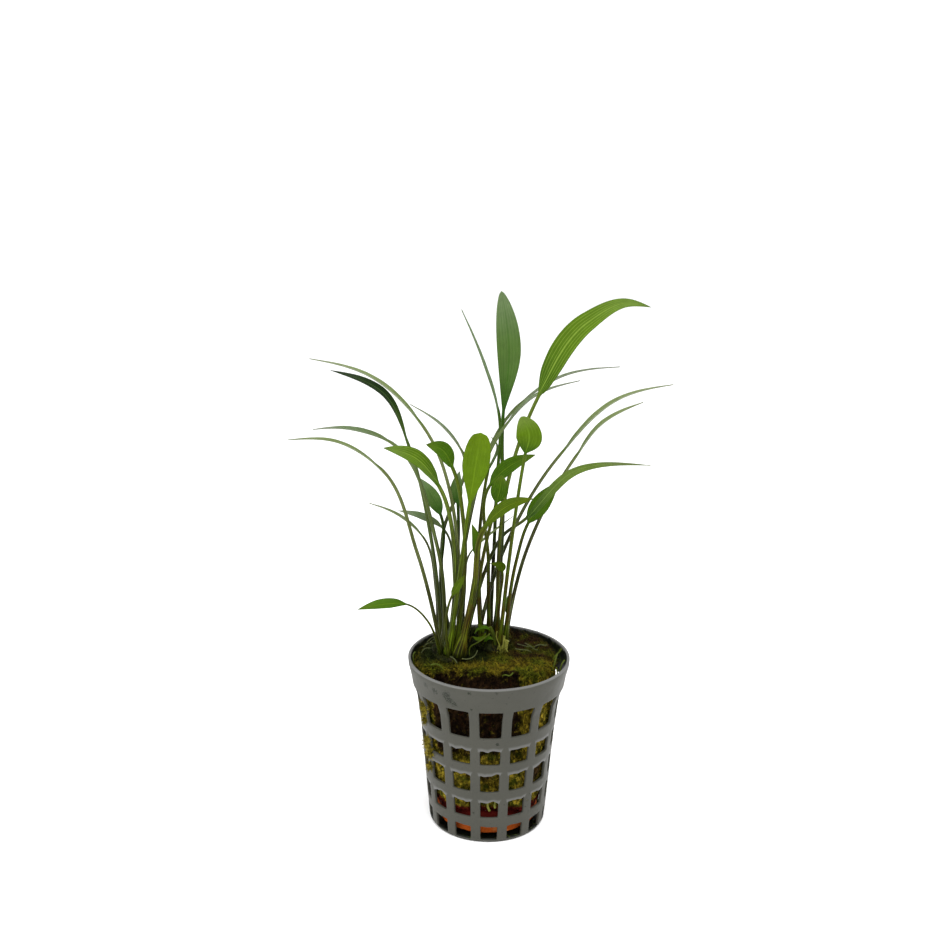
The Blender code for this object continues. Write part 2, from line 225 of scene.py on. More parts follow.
SWEEP_FRONT, SWEEP_BEND_START, SWEEP_TOP = -1.5, 1.2, 2.6
SWEEP_RADIUS = 0.8
SWEEP_STEPS = 12
SWEEP_SIDE = 2.2
sweep_outline = [(SWEEP_FRONT, 0.0), (SWEEP_BEND_START, 0.0)]
for step in range(1, SWEEP_STEPS + 1):
    turn = math.radians(90 * step / SWEEP_STEPS)
    back = SWEEP_BEND_START + SWEEP_RADIUS * math.sin(turn)
    sweep_outline.append((back, SWEEP_RADIUS - SWEEP_RADIUS * math.cos(turn)))
sweep_outline.append((SWEEP_BEND_START + SWEEP_RADIUS, SWEEP_TOP))
shape = bmesh.new()
edges = [[shape.verts.new((x, y, z)) for y, z in sweep_outline] for x in (-SWEEP_SIDE, SWEEP_SIDE)]
for k in range(len(sweep_outline) - 1):
    shape.faces.new((edges[0][k], edges[1][k], edges[1][k + 1], edges[0][k + 1]))
sweep_mesh = bpy.data.meshes.new("sweep")
shape.to_mesh(sweep_mesh)
shape.free()
sweep_mesh.shade_smooth()
sweep_mesh.materials.append(sweep_finish)
sweep = bpy.data.objects.new("sweep", sweep_mesh)
bpy.context.scene.collection.objects.link(sweep)

world = bpy.data.worlds.new("studio")
world.use_nodes = True
world.node_tree.nodes["Background"].inputs["Color"].default_value = (1.0, 1.0, 1.0, 1.0)
world.node_tree.nodes["Background"].inputs["Strength"].default_value = 1.05
bpy.context.scene.world = world
for lamp_name, place, size, power in (
    ("lamp_above", (0.1, -0.35, 0.9), 0.7, 9.0),
    ("lamp_left", (-0.8, -0.5, 0.5), 0.6, 4.0),
):
    lamp_data = bpy.data.lights.new(lamp_name, "AREA")
    lamp_data.size = size
    lamp_data.energy = power
    lamp = bpy.data.objects.new(lamp_name, lamp_data)
    aim = (Vector((0, 0, 0.08)) - Vector(place)).to_track_quat("-Z", "Y")
    lamp.matrix_world = Matrix.Translation(place) @ aim.to_matrix().to_4x4()
    bpy.context.scene.collection.objects.link(lamp)

# The pot is one injection moulding in grey plastic: a plain collar with a thin
# lip, a lattice of fourteen ribs crossed by bands, and a flat floor with slots.
# The mould leaves ragged flash along the top edges of the windows.


def geometry_tree(name, sizes):
    """A geometry tree with a shape, a finish and the named sizes as its inputs."""
    tree = bpy.data.node_groups.new(name, "GeometryNodeTree")
    face = tree.interface
    face.new_socket("Geometry", in_out="INPUT", socket_type="NodeSocketGeometry")
    face.new_socket("Finish", in_out="INPUT", socket_type="NodeSocketMaterial")
    for label, value in sizes.items():
        kind = "NodeSocketInt" if isinstance(value, int) else "NodeSocketFloat"
        face.new_socket(label, in_out="INPUT", socket_type=kind).default_value = value
    face.new_socket("Geometry", in_out="OUTPUT", socket_type="NodeSocketGeometry")
    graph = Graph(tree)
    given = tree.nodes.new("NodeGroupInput").outputs
    return graph, {socket.name: Value(graph, socket) for socket in given}


def close_tree(graph, shape, given):
    """End a geometry tree: real faces, the finish, and the output."""
    shape = graph.add("GeometryNodeRealizeInstances", (shape,))
    shape = graph.add("GeometryNodeSetMaterial", {"Geometry": shape, "Material": given["Finish"]})
    graph.add("NodeGroupOutput", (shape,))


def run_tree(piece, tree, surface, **sizes):
    """Give a piece a geometry tree, with its sizes set by their sockets."""
    modifier = piece.modifiers.new("shape", "NODES")
    modifier.node_group = tree
    wanted = {label.replace("_", " ").title(): value for label, value in sizes.items()}
    wanted["Finish"] = surface
    for item in tree.interface.items_tree:
        if item.in_out == "INPUT" and item.name in wanted:
            modifier[item.identifier] = wanted[item.name]


def settle(piece, *nodes, sharp_angle=None):
    """Turn a piece's modifiers into plain mesh and hand it to the root body."""
    shapes = bpy.context.evaluated_depsgraph_get()
    mesh = bpy.data.meshes.new_from_object(piece.evaluated_get(shapes), depsgraph=shapes)
    piece.modifiers.clear()
    piece.data = mesh
    mesh.name = piece.name
    mesh.shade_smooth()
    if sharp_angle:
        mesh.set_sharp_from_angle(angle=math.radians(sharp_angle))
    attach(piece, "root")
    if nodes:
        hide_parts(*nodes)


def seed_object(name, points, edges=(), **attributes):
    """An object of loose points, or a line of them, with values on each point."""
    mesh = bpy.data.meshes.new(name)
    mesh.from_pydata(points, edges, [])
    for label, values in attributes.items():
        kind = "FLOAT_VECTOR" if isinstance(values[0], Vector) else "FLOAT"
        layer = mesh.attributes.new(label, kind, "POINT")
        field = "vector" if kind == "FLOAT_VECTOR" else "value"
        for k, value in enumerate(values):
            setattr(layer.data[k], field, value)
    piece = bpy.data.objects.new(name, mesh)
    bpy.context.scene.collection.objects.link(piece)
    return piece


MM = 0.001
POT_HEIGHT = 57.5
POT_OUTLINE = (
    (0, 18.5), (0.9, 19.2), (12, 20.15), (24, 21.1), (36, 22.2), (45, 23.4), (48, 24.5), (48.9, 24.75),
    (52, 25.25), (54, 25.7), (56, 26.2), (57.5, 26.3),
)
OUTLINE_REACH = 30
POT_WALL = 0.9
WINDOW_COLUMNS = 14
WINDOW_TURN = math.radians(1.5)
RIB_WIDTH = 3.15
COLLAR_FOOT = 48.9
# Lower limit, bottom and top of the opening, and upper limit of each row of cells.
# The first row is the floor's, measured out from the middle; the last is the collar.
POT_ROWS = (
    (0, 6.5, 14.5, 18.5), (0, 1, 6.2, 7.8), (7.8, 9.4, 15.8, 17.4), (17.4, 19, 25.9, 27.5),
    (27.5, 29, 34.7, 36.8), (36.8, 38.8, COLLAR_FOOT, 50.5), (50.5, 51.5, 56.5, 57.5),
)

graph, given = geometry_tree("lattice_pot", {
    "Columns": WINDOW_COLUMNS, "Turn": WINDOW_TURN, "Rib Width": RIB_WIDTH * MM, "Corner": 30.0,
    "Flash": 0.3,
})
pitch = math.tau / given["Columns"]


def window_cell(filled):
    """A square patch from -1.5 to 1.5 with a round-cornered opening from -1 to 1."""
    ring, around, outward = graph.net(33, 3)
    turn = around * math.tau
    x = turn.cosine()
    y = turn.sine()
    reach = graph.larger(abs(x), abs(y))
    x = x / reach
    y = y / reach
    power = [abs(side) ** given["Corner"] for side in (x, y)]
    pull = (power[0] + power[1]) ** (-1.0 / given["Corner"])
    if filled:
        pull = 0.0
    size = graph.blend(outward, pull, 1.5)
    place = graph.joined(x * size, y * size)
    ring = graph.moved(ring, Position=place)
    ring = graph.store(ring, "cell", place, "FLOAT_VECTOR")
    ring = graph.store(ring, "solid", outward)
    return graph.add("GeometryNodeGeometryToInstance", (ring,))


cells = graph.add("GeometryNodeJoinGeometry")
for filled in (True, False):
    graph.tree.links.new(window_cell(filled).socket, cells.socket.node.inputs[0])
copies = graph.add(
    "GeometryNodeDuplicateElements", {"Geometry": given["Geometry"], "Amount": given["Columns"]},
    domain="POINT")
column = copies.beside("Duplicate Index")
odd = graph.math("MODULO", column, 2.0)
cell_kind = graph.math("MINIMUM", 1.0, graph.stored("closed") + graph.stored("flat") * (1.0 - odd))
copies = graph.store(copies, "column", column)
lattice = graph.add("GeometryNodeInstanceOnPoints", {
    "Points": copies, "Instance": cells, "Pick Instance": True, "Instance Index": cell_kind})
lattice = graph.add("GeometryNodeRealizeInstances", (lattice,))
across, up, _ = graph.stored("cell", "FLOAT_VECTOR").parts()
ragged_x = graph.stored("column").times_plus(3.7, across * 0.8)
ragged = graph.noise(graph.joined(ragged_x, graph.stored("bottom") * 310.0), 1.0)
ragged = (ragged - 0.62) * (given["Flash"] * 4.0)
ragged = ragged * (1.0 - graph.stored("solid"))
ragged = ragged * (graph.stored("ragged") * up.ease(0.4, 0.9))
# Where the flash lies, for a painted highlight along the top edge of each window.
flash_highlight = up.ease(0.6, 0.95) * (graph.stored("ragged") * (1.0 - graph.stored("solid")))
lattice = graph.store(lattice, "flash_highlight", flash_highlight)
up = up + ragged
opening = graph.stored("top") - graph.stored("bottom")
inner = up.times_plus(0.5, 0.5).clamped().times_plus(opening, graph.stored("bottom"))
over = 2.0 * graph.larger(0.0, up - 1.0)
under = 2.0 * graph.larger(0.0, -1.0 - up)
level = inner + over * (graph.stored("upper") - graph.stored("top"))
level = level + under * (graph.stored("lower") - graph.stored("bottom"))
outline = graph.add("ShaderNodeFloatCurve", {"Value": level / (POT_HEIGHT * MM)})
mapping = outline.socket.node.mapping
curve = mapping.curves[0]
for _ in POT_OUTLINE[2:]:
    curve.points.new(0.5, 0.5)
for point, (height, radius) in zip(curve.points, POT_OUTLINE):
    point.location = (height / POT_HEIGHT, radius / OUTLINE_REACH)
    point.handle_type = "VECTOR"
mapping.update()
radius = graph.blend(graph.stored("flat"), outline * (OUTLINE_REACH * MM), level)
height = graph.blend(graph.stored("flat"), level, 0.0)
rib_angle = given["Rib Width"] / graph.larger(radius, 0.0001)
half_rib = 0.5 * graph.math("MINIMUM", rib_angle, 0.8 * pitch)
beyond = 2.0 * graph.larger(0.0, abs(across) - 1.0)
beyond = graph.math("SIGN", across) * (beyond * half_rib)
within = graph.larger(-1.0, graph.math("MINIMUM", 1.0, across))
within = within * (pitch * 0.5 - half_rib)
angle = given["Turn"] + graph.stored("column").times_plus(pitch, within + beyond)
place = graph.joined(radius * angle.sine(), radius * (-1.0 * angle.cosine()), height)
lattice = graph.moved(lattice, Position=place)
lattice = graph.weld(lattice, 0.00002)
lattice = graph.add("GeometryNodeFlipFaces", (lattice,))
close_tree(graph, lattice, given)

pot_finish, paint, shader = finish("pot_grey_plastic", 0.45, 0.14)
place = paint.object_place()
x, y, height = place.parts()
cloud = paint.noise(place, 60.0, 4.0, 0.6)
speck = paint.noise(place, 1400.0, 2.0, 0.6)
pot_colour = paint.tint(cloud, (0.04, 0.0405, 0.033), (0.06, 0.059, 0.048))
pot_colour = paint.tint(speck.ease(0.62, 0.75), pot_colour, (0.035, 0.035, 0.03))
# Painted highlight: a lighter band along the flash at the top of each window.
flash_highlight = paint.painted("flash_highlight")
pot_colour = paint.tint(flash_highlight.ease(0.35, 0.85, 0.0, 0.8), pot_colour, (0.12, 0.12, 0.115))
# Painted highlight: a light line along the top of the lip.
pot_colour = paint.tint(height.ease(0.0569, 0.0573), pot_colour, (0.11, 0.11, 0.105))
facing = paint.add("ShaderNodeNewGeometry", out="Normal")
outward = paint.dot(facing, paint.vector("NORMALIZE", paint.joined(x, y)))
# Painted shade with a green slime mottle: the inner faces of the pot and its floor are painted dark.
slime = paint.noise(place, 330.0, 4.0, 0.65)
slime_and_shade_colour = paint.tint(slime.ease(0.54, 0.68), (0.003, 0.004, 0.002), (0.045, 0.065, 0.01))
inside_shade_and_slime = slime.times_plus(0.003, height).ease(0.0582, 0.0587, 1.0, 0.0)
inside_shade_and_slime = inside_shade_and_slime * outward.ease(-0.5, -0.1, 1.0, 0.0)
on_floor = facing.parts()[2].ease(0.5, 0.8) * height.ease(0.002, 0.003, 1.0, 0.0)
inside_shade_and_slime = paint.larger(inside_shade_and_slime, on_floor)
pot_colour = paint.tint(inside_shade_and_slime, pot_colour, slime_and_shade_colour)
smear = paint.noise(place, 2600.0, 3.0, 0.7)
# Dark smudges and specks: where each is, and its size.
for *spot, size in (
    (-20.0, -16.4, 54.5, 2.2), (-17.1, -19.1, 53.7, 2.4), (-13.4, -21.8, 53.4, 3.2),
    (-12.3, -22.0, 52.0, 2.6), (-10.9, -22.6, 51.1, 2.0), (2.8, -22.2, 37.0, 1.2),
    (-4.5, -19.6, 11.2, 1.0), (10.3, -17.1, 10.0, 1.6), (13.6, -15.2, 15.8, 0.7),
    (12.9, -15.6, 13.7, 0.8), (12.2, -16.0, 11.6, 0.9), (-5.5, -24.3, 50.0, 0.9),
    (-6.2, -25.4, 56.0, 1.2), (2.3, -26.1, 56.4, 1.0), (-17.8, 11.0, 20.0, 3.0), (15.0, 19.0, 52.5, 3.5),
):
    away = paint.distance(place, tuple(value * MM for value in spot))
    near = away.ease(0.0, 1.4 * size * MM, 0.42, 0.0)
    mark = (near + smear).ease(0.8, 0.92, 0.0, 0.85)
    pot_colour = paint.tint(mark, pot_colour, (0.006, 0.009, 0.004))
shine = cloud.ease(0.3, 0.7, 0.38, 0.55)
wire(paint, shader, pot_colour, shine, paint.noise(place, 700.0, 3.0), 0.00004)

row_values = [[value * MM for value in row] for row in POT_ROWS]
pot = seed_object(
    "pot_lattice", [(0, 0, k * MM) for k in range(len(POT_ROWS))],
    lower=[row[0] for row in row_values], bottom=[row[1] for row in row_values],
    top=[row[2] for row in row_values], upper=[row[3] for row in row_values],
    flat=[1.0] + [0.0] * 6, closed=[0.0] * 6 + [1.0], ragged=[0.0, 0.4, 1.0, 1.0, 1.0, 0.0, 0.0],
)
run_tree(pot, graph.tree, pot_finish)
wall = pot.modifiers.new("wall", "SOLIDIFY")
wall.thickness = POT_WALL * MM
wall.offset = -1.0
wall.use_even_offset = True
edge = pot.modifiers.new("edge", "BEVEL")
edge.width = 0.18 * MM
edge.segments = 2
edge.limit_method = "ANGLE"
edge.angle_limit = math.radians(50)
settle(pot, "pot", sharp_angle=60)

# The clay disc is a fired orange slab that lies on the pot's floor and carries the plug. Its upper side is
# darker red, and its foot is painted black as shade.
clay_finish, graph, shader = finish("fired_clay", 0.9, 0.04)
place = graph.object_place()
height = place.parts()[2]
grit = graph.noise(place, 900.0, 4.0, 0.65)
blotch = graph.noise(place, 160.0, 3.0)
height = (blotch - 0.5).times_plus(0.0012, height)
clay_colour = graph.tint(grit, (0.19, 0.028, 0.003), (0.38, 0.085, 0.012))
clay_colour = graph.tint(blotch.ease(0.6, 0.72), clay_colour, (0.42, 0.15, 0.045))
# Darker red towards the top.
clay_colour = graph.tint(height.ease(0.0058, 0.0074), clay_colour, (0.075, 0.006, 0.004))
# Painted shade: near black at the foot of the disc.
clay_colour = graph.tint(height.ease(0.0018, 0.0023, 1.0, 0.0), clay_colour, (0.004, 0.004, 0.004))
wire(graph, shader, clay_colour, relief=grit, height=0.0002)

graph, given = geometry_tree("clay_slab", {
    "Radius": 0.0167, "Foot Radius": 0.0152, "Bottom": 0.0012, "Top": 0.0095, "Chip": 0.0003,
})
net, around, along = graph.net(97, 33)
under = (along * 4.0).clamped()
side_up = along.times_plus(2.0, -0.5).clamped()
over = along.times_plus(4.0, -3.0).clamped()
widening = graph.blend(side_up.ease(0.03, 0.12), given["Foot Radius"], given["Radius"])
rounded = abs(side_up.times_plus(2.0, -1.0)) ** 8.0
radius = under * (1.0 - over) * rounded.times_plus(-0.0006, widening)
height = graph.blend(side_up, given["Bottom"], given["Top"])
turn = around * math.tau
rim_place = graph.joined(turn.cosine(), turn.sine(), height * 200.0)
chip = (graph.noise(rim_place, 4.0, 3.0) - 0.6) * given["Chip"]
radius = (chip * 4.0).times_plus(under, radius)
radius = graph.larger(radius, 0.0) * graph.math("LESS_THAN", over, 0.999)
place = graph.joined(radius * turn.cosine(), radius * turn.sine(), height)
slab = graph.moved(net, Position=place)
slab = graph.weld(slab, 0.00001)
close_tree(graph, slab, given)
clay = seed_object("clay_slab", [(0, 0, 0)])
run_tree(clay, graph.tree, clay_finish)
settle(clay, "clay_disc", sharp_angle=50)

# The plug is rock wool, cut round, flat in front and slit from the front for the
# roots. It is pressed into the pot, and moss has grown over its top and sides.
POT_FOOT_RADIUS = 19.1
POT_FLARE = 4.2
POT_STRAIGHT_TOP = 45.0
WOOL_TOP = 58
WOOL_EDGE = 56
WOOL_EDGE_ROUNDING = 1.1
WOOL_FRONT = 13.0
WOOL_BULGE = 3.4
WOOL_WALL_GAP = 0.6
BULGE_TOP = 28.0
BULGE_FADE = 5.0
RIGHT_BULGE = 2.2
ROUND_STEPS = 48
SLIT_MIDDLE = 10.6
SLIT_WIDTH = 1.2
SLIT_END = -7.0


def plug_outline(radius, height):
    """Round behind, flat in front, and a little proud right of the slit and low down."""
    low = min(1.0, max(0.0, (BULGE_TOP - height) / BULGE_FADE))
    front = WOOL_FRONT + WOOL_BULGE * low
    right = WOOL_FRONT + max(WOOL_BULGE * low, RIGHT_BULGE)
    first, last = -math.asin(right / radius), math.pi + math.asin(front / radius)
    points = []
    for k in range(ROUND_STEPS + 1):
        angle = first + (last - first) * k / ROUND_STEPS
        points.append((radius * math.cos(angle), radius * math.sin(angle)))
    slit_left, slit_right = SLIT_MIDDLE - 0.5 * SLIT_WIDTH, SLIT_MIDDLE + 0.5 * SLIT_WIDTH
    slit = [(slit_left, -front), (slit_left, SLIT_END), (slit_right, SLIT_END), (slit_right, -right)]
    return points + slit


def voxel_piece(name, shape, voxel_size):
    """An object from a closed shape, remeshed evenly so that its surface can be ruffled."""
    mesh = bpy.data.meshes.new(name)
    shape.to_mesh(mesh)
    shape.free()
    piece = bpy.data.objects.new(name, mesh)
    bpy.context.scene.collection.objects.link(piece)
    voxels = piece.modifiers.new("voxels", "REMESH")
    voxels.mode = "VOXEL"
    voxels.voxel_size = voxel_size
    return piece


def close_rings(shape, rings):
    """Join rings of points into one closed skin, capped at both ends."""
    for lower, upper in zip(rings, rings[1:]):
        for i in range(len(lower)):
            j = (i + 1) % len(lower)
            shape.faces.new((lower[i], lower[j], upper[j], upper[i]))
    shape.faces.new(rings[-1])
    shape.faces.new(list(reversed(rings[0])))
    bmesh.ops.recalc_face_normals(shape, faces=shape.faces)


shape = bmesh.new()
rings = []
for height in (10, 12, 16, 20, 23, 24.5, 26, 28, 32, 38, 45, 52, WOOL_EDGE, 57.4, WOOL_TOP):
    wall = POT_FOOT_RADIUS + POT_FLARE * min(height, POT_STRAIGHT_TOP) / POT_STRAIGHT_TOP - POT_WALL
    rounding = WOOL_EDGE_ROUNDING * max(0.0, height - WOOL_EDGE) / (WOOL_TOP - WOOL_EDGE)
    radius = wall - WOOL_WALL_GAP - rounding
    rings.append([shape.verts.new((x * MM, y * MM, height * MM)) for x, y in plug_outline(radius, height)])
close_rings(shape, rings)
plug = voxel_piece("rock_wool_plug", shape, voxel_size=0.00055)


def moss_colours(graph, place, tone):
    """What colour the mossy wool has at a place: tone runs from wet dark to dry pale."""
    x, y, z = place.parts()
    radius = graph.distance(graph.joined(x, y), (0.0, 0.0, 0.0))
    patch = graph.noise(place, 170.0, 4.0, 0.6)
    dapple = graph.noise(place, 520.0, 3.0, 0.6)
    tone = (tone * dapple.ease(0.35, 0.65, 0.35, 1.25)).clamped()
    golden = graph.tint(tone, (0.018, 0.011, 0.001), (0.21, 0.165, 0.012))
    mossy = graph.tint(tone, (0.007, 0.009, 0.0006), (0.12, 0.13, 0.008))
    deep = graph.tint(tone, (0.0008, 0.001, 0.0006), (0.022, 0.032, 0.006))
    brown = graph.tint(tone, (0.002, 0.001, 0.0006), (0.036, 0.017, 0.006))
    red = graph.tint(tone, (0.015, 0.001, 0.0008), (0.09, 0.008, 0.004))
    colour = graph.tint(patch.ease(0.42, 0.58), mossy, golden)
    # Dry and pale in dapples on the sides.
    on_top = z.ease(0.0545, 0.0575)
    dry = graph.tint(tone, (0.004, 0.003, 0.0006), (0.33, 0.24, 0.022))
    dried = on_top.ease(0.0, 1.0, 0.85, 0.0) * dapple.ease(0.4, 0.6)
    colour = graph.tint(dried, colour, dry)
    # Behind the crowns, deep green at the left and rusty at the right.
    behind = patch.times_plus(0.018, x.times_plus(-0.1, y))
    behind = on_top * behind.ease(0.001, 0.009)
    colour = graph.tint(behind * x.ease(-0.003, 0.005, 0.93, 0.3), colour, deep)
    rust = behind * (x.ease(0.004, 0.009) * patch.ease(0.4, 0.55))
    colour = graph.tint(rust, colour, brown)
    # Painted shade: dark by the collar, and round the feet of the leaves.
    collar_shade = radius.ease(0.0212, 0.0228, 0.0, 0.85) * y.ease(-0.007, -0.003)
    collar_shade = collar_shade * x.ease(-0.018, -0.008, 0.2, 1.0)
    colour = graph.tint(collar_shade, colour, deep)
    # Painted shade round the feet of the crowns, where the leaves shade the moss.
    for spot, size in (((-0.0125, 0.001, 0.058), 0.012), ((0.001, 0.008, 0.058), 0.009),
                       ((-0.003, -0.004, 0.058), 0.006), ((-0.0175, -0.0045, 0.058), 0.004)):
        away = patch.times_plus(0.006, graph.distance(place, spot))
        near = away.ease(0.8 * size, 1.3 * size, 0.92, 0.0)
        colour = graph.tint(near * on_top, colour, deep)
    # The cut front is bare brown wool with frayed edges, dark spots and red streaks, with painted shade low
    # down and under the collar.
    fray = graph.noise(place, 420.0, 4.0, 0.7) - 0.5
    face = fray.times_plus(0.004, y).ease(-0.0125, -0.0115, 1.0, 0.0)
    face = face * fray.times_plus(0.009, x).ease(0.0088, 0.0104, 1.0, 0.0)
    face = face * fray.times_plus(0.012, z).ease(0.0275, 0.031)
    face = face * fray.times_plus(0.014, z).ease(0.0555, 0.0585, 1.0, 0.0)
    colour = graph.tint(face, colour, brown)
    for spot, size in (((-0.0005, -0.0155, 0.032), 0.005), ((-0.0005, -0.0165, 0.0225), 0.0035),
                       ((0.0155, -0.012, 0.0225), 0.005), ((0.0075, -0.0145, 0.0405), 0.0035)):
        away = patch.times_plus(0.004, graph.distance(place, spot))
        near = away.ease(0.8 * size, 1.5 * size, 0.95, 0.0)
        colour = graph.tint(near, colour, brown)
    streak = graph.noise(graph.vector("MULTIPLY", place, (1.0, 1.0, 0.12)), 900.0, 2.0)
    colour = graph.tint(face * streak.ease(0.62, 0.72, 0.0, 0.5), colour, red)
    # Painted shade on the cut front, low down and near the top under the collar.
    shade = face * graph.larger(z.ease(0.039, 0.048, 0.75, 0.0), z.ease(0.05, 0.054, 0.0, 0.7))
    colour = graph.tint(shade, colour, graph.tint(tone, (0.001, 0.0006, 0.0004), (0.018, 0.01, 0.004)))
    # Palest where moss stands out through the windows, and red down by the clay.
    outside = z.times_plus(-0.0933, radius).ease(0.0182, 0.0188)
    outside = outside * z.ease(0.047, 0.049, 0.9, 0.0)
    colour = graph.tint(outside, colour, graph.tint(tone, (0.04, 0.034, 0.003), (0.42, 0.34, 0.04)))
    red_low_down = patch.times_plus(0.0025, z).ease(0.0122, 0.0135, 1.0, 0.0)
    return graph.tint(red_low_down, colour, red)


wool_finish, graph, shader = finish("mossy_rock_wool", 0.9, 0.03)
place = graph.object_place()
upright = graph.vector("MULTIPLY", place, (1.0, 1.0, 0.5))
tone = graph.noise(upright, 950.0, 4.0, 0.7)
tone = tone.ease(0.3, 0.72)
wire(graph, shader, moss_colours(graph, place, tone), relief=tone, height=0.0003)

graph, given = geometry_tree("wool_surface", {"Lump": 0.0011, "Pit": 0.0009, "Patch": 240.0})
place = graph.add("GeometryNodeInputPosition")
lump = (graph.noise(place, given["Patch"], 3.0, 0.6) - 0.58) * given["Lump"]
pit = graph.noise(place, 900.0, 2.0).ease(0.35, 0.6, -1.0, 0.1) * given["Pit"]
wool_normal = graph.add("GeometryNodeInputNormal")
puff = graph.vector("SCALE", wool_normal, lump + pit * 0.6)
ruffled = graph.moved(given["Geometry"], Offset=puff)
close_tree(graph, ruffled, given)
ruffle_tree = graph.tree
run_tree(plug, ruffle_tree, wool_finish)
settle(plug, "rock_wool")

# Moss fills the gap between the plug and the collar, thickly on the left and at the
# back, where it has crept up under the lip, and thins out towards the right.
GAP_START, GAP_END = math.radians(28), math.radians(211)
GAP_INNER_RADIUS = 20.2
GAP_MIDDLE_HEIGHT = 50
GAP_TOP, GAP_TOP_RISE = 51.5, 4.3
GAP_STEPS = 72

shape = bmesh.new()
rings = []
for step in range(GAP_STEPS + 1):
    share = step / GAP_STEPS
    angle = GAP_START + (GAP_END - GAP_START) * share
    swell = math.sin(math.pi * min(1.0, 8 * share, 10 * (1 - share)) / 2)
    top = GAP_TOP + GAP_TOP_RISE * min(1.0, 2.2 * share) * swell
    outline = ((GAP_INNER_RADIUS, 47), (22.3, 47.5), (23.5, 50), (24.2, top - 1.5), (24.1, top),
               (22.6, top + 0.7), (GAP_INNER_RADIUS, top + 0.9))
    ring = []
    for radius, height in outline:
        radius = GAP_INNER_RADIUS + (radius - GAP_INNER_RADIUS) * max(swell, 0.05)
        height = GAP_MIDDLE_HEIGHT + (height - GAP_MIDDLE_HEIGHT) * max(swell, 0.05)
        point = (radius * math.cos(angle) * MM, radius * math.sin(angle) * MM, height * MM)
        ring.append(shape.verts.new(point))
    rings.append(ring)
close_rings(shape, rings)
gap_moss = voxel_piece("gap_moss", shape, voxel_size=0.0005)
run_tree(gap_moss, ruffle_tree, wool_finish, lump=0.0016)
settle(gap_moss)

# Moss has crept out through the windows at the left, and sits in small soft tufts
# on the ribs between them.
shape = bmesh.new()
for x, y, z, wide, tall in (
    (-20.6, -10.8, 44.0, 1.3, 2.6), (-20.3, -10.2, 39.5, 1.0, 1.8), (-19.6, -10.6, 31.5, 1.4, 2.2),
    (-18.9, -11.2, 27.8, 1.5, 1.6), (-18.7, -10.2, 23.0, 1.0, 1.6),
):
    outward = Matrix.Rotation(math.atan2(y, x), 4, "Z")
    tuft = Matrix.Translation((x * MM, y * MM, z * MM)) @ outward @ Matrix.Diagonal((0.7, wide, tall, 1))
    bmesh.ops.create_icosphere(shape, subdivisions=3, radius=MM, matrix=tuft)
rib_moss = voxel_piece("rib_moss", shape, voxel_size=0.0002)
run_tree(rib_moss, ruffle_tree, wool_finish, lump=0.0016, patch=900.0)
settle(rib_moss)

# The crowns are low, lumpy stubs, made of the brown sheaths of old leaves packed round one another, with
# moss grown over them. They are painted almost black as the shade under the leaves.
crown_finish, graph, shader = finish("crown_sheaths_in_shade", 0.7, 0.06)
place = graph.object_place()
sheath = graph.noise(graph.vector("MULTIPLY", place, (1.0, 1.0, 0.2)), 800.0, 4.0, 0.7)
# Painted shade: the sheaths are near black, as the base of the clump lies in shade.
crown_shade_colour = graph.tint(sheath.ease(0.35, 0.7), (0.002, 0.002, 0.001), (0.018, 0.022, 0.004))
rotten = graph.noise(place, 300.0, 3.0).ease(0.5, 0.65, 0.0, 0.6)
crown_shade_colour = graph.tint(rotten, crown_shade_colour, (0.02, 0.012, 0.005))
wire(graph, shader, crown_shade_colour, relief=sheath, height=0.0003)

graph, given = geometry_tree("crown_mound", {
    "Middle X": 0.0, "Middle Y": 0.0, "Bottom": 0.0572, "Wide": 0.012, "Deep": 0.019, "Tall": 0.0032,
    "Lump": 0.0014,
})
net, around, along = graph.net(73, 33)
turn = around * math.tau
slope = along * math.pi
reach = graph.larger(slope.sine(), 0.0) ** 0.7
reach = reach * graph.math("LESS_THAN", along, 0.999)
rise = slope.cosine().times_plus(-0.5, 0.5)
ball = graph.joined(reach * turn.cosine(), reach * turn.sine(), rise)
size = graph.joined(given["Wide"] * 0.5, given["Deep"] * 0.5, given["Tall"])
foot = graph.joined(given["Middle X"], given["Middle Y"], given["Bottom"])
place = graph.vector("ADD", graph.vector("MULTIPLY", ball, size), foot)
lump = graph.noise(graph.vector("MULTIPLY", place, (1.0, 1.0, 0.5)), 420.0, 3.0, 0.6) - 0.55
lump = lump * given["Lump"] * reach
place = graph.vector("ADD", place, graph.vector("SCALE", graph.vector("NORMALIZE", ball), lump * 2.0))
mound = graph.moved(net, Position=place)
mound = graph.weld(mound, 0.00001)
close_tree(graph, mound, given)
crowns = []
for name, middle_x, middle_y, deep in (
    ("crown_left", -0.0125, 0.001, 0.019),
    ("crown_right", 0.001, 0.008, 0.016),
):
    crown = seed_object(name + "_grown", [(0, 0, 0)])
    run_tree(crown, graph.tree, crown_finish, middle_x=middle_x, middle_y=middle_y, deep=deep)
    settle(crown, name)
    crowns.append(crown)

# Moss and loose fibres. Thin strands of moss lie matted over the top of the plug,
# short green tips stand up between them, and pale wool fibres hang from its sides.
strand_finish, graph, shader = finish("moss_strands", 0.8, 0.04)
place = graph.object_place()
tone = graph.painted("tone")
tip = graph.painted("tip")
# Painted light: each strand is darker at its foot, in the shade of the mat, and paler towards its tip,
# where light falls.
tone = tip.times_plus(0.55, tone.times_plus(1.1, -0.25)).clamped()
strand_colour = moss_colours(graph, place, tone)
grain = graph.noise(place, 2500.0, 2.0)
grainy = grain.ease(0.3, 0.7, 0.0, 0.5)
strand_colour = graph.tint(grainy, strand_colour, (0.35, 0.35, 0.35), "OVERLAY")
wire(graph, shader, strand_colour, relief=grain, height=0.00004)

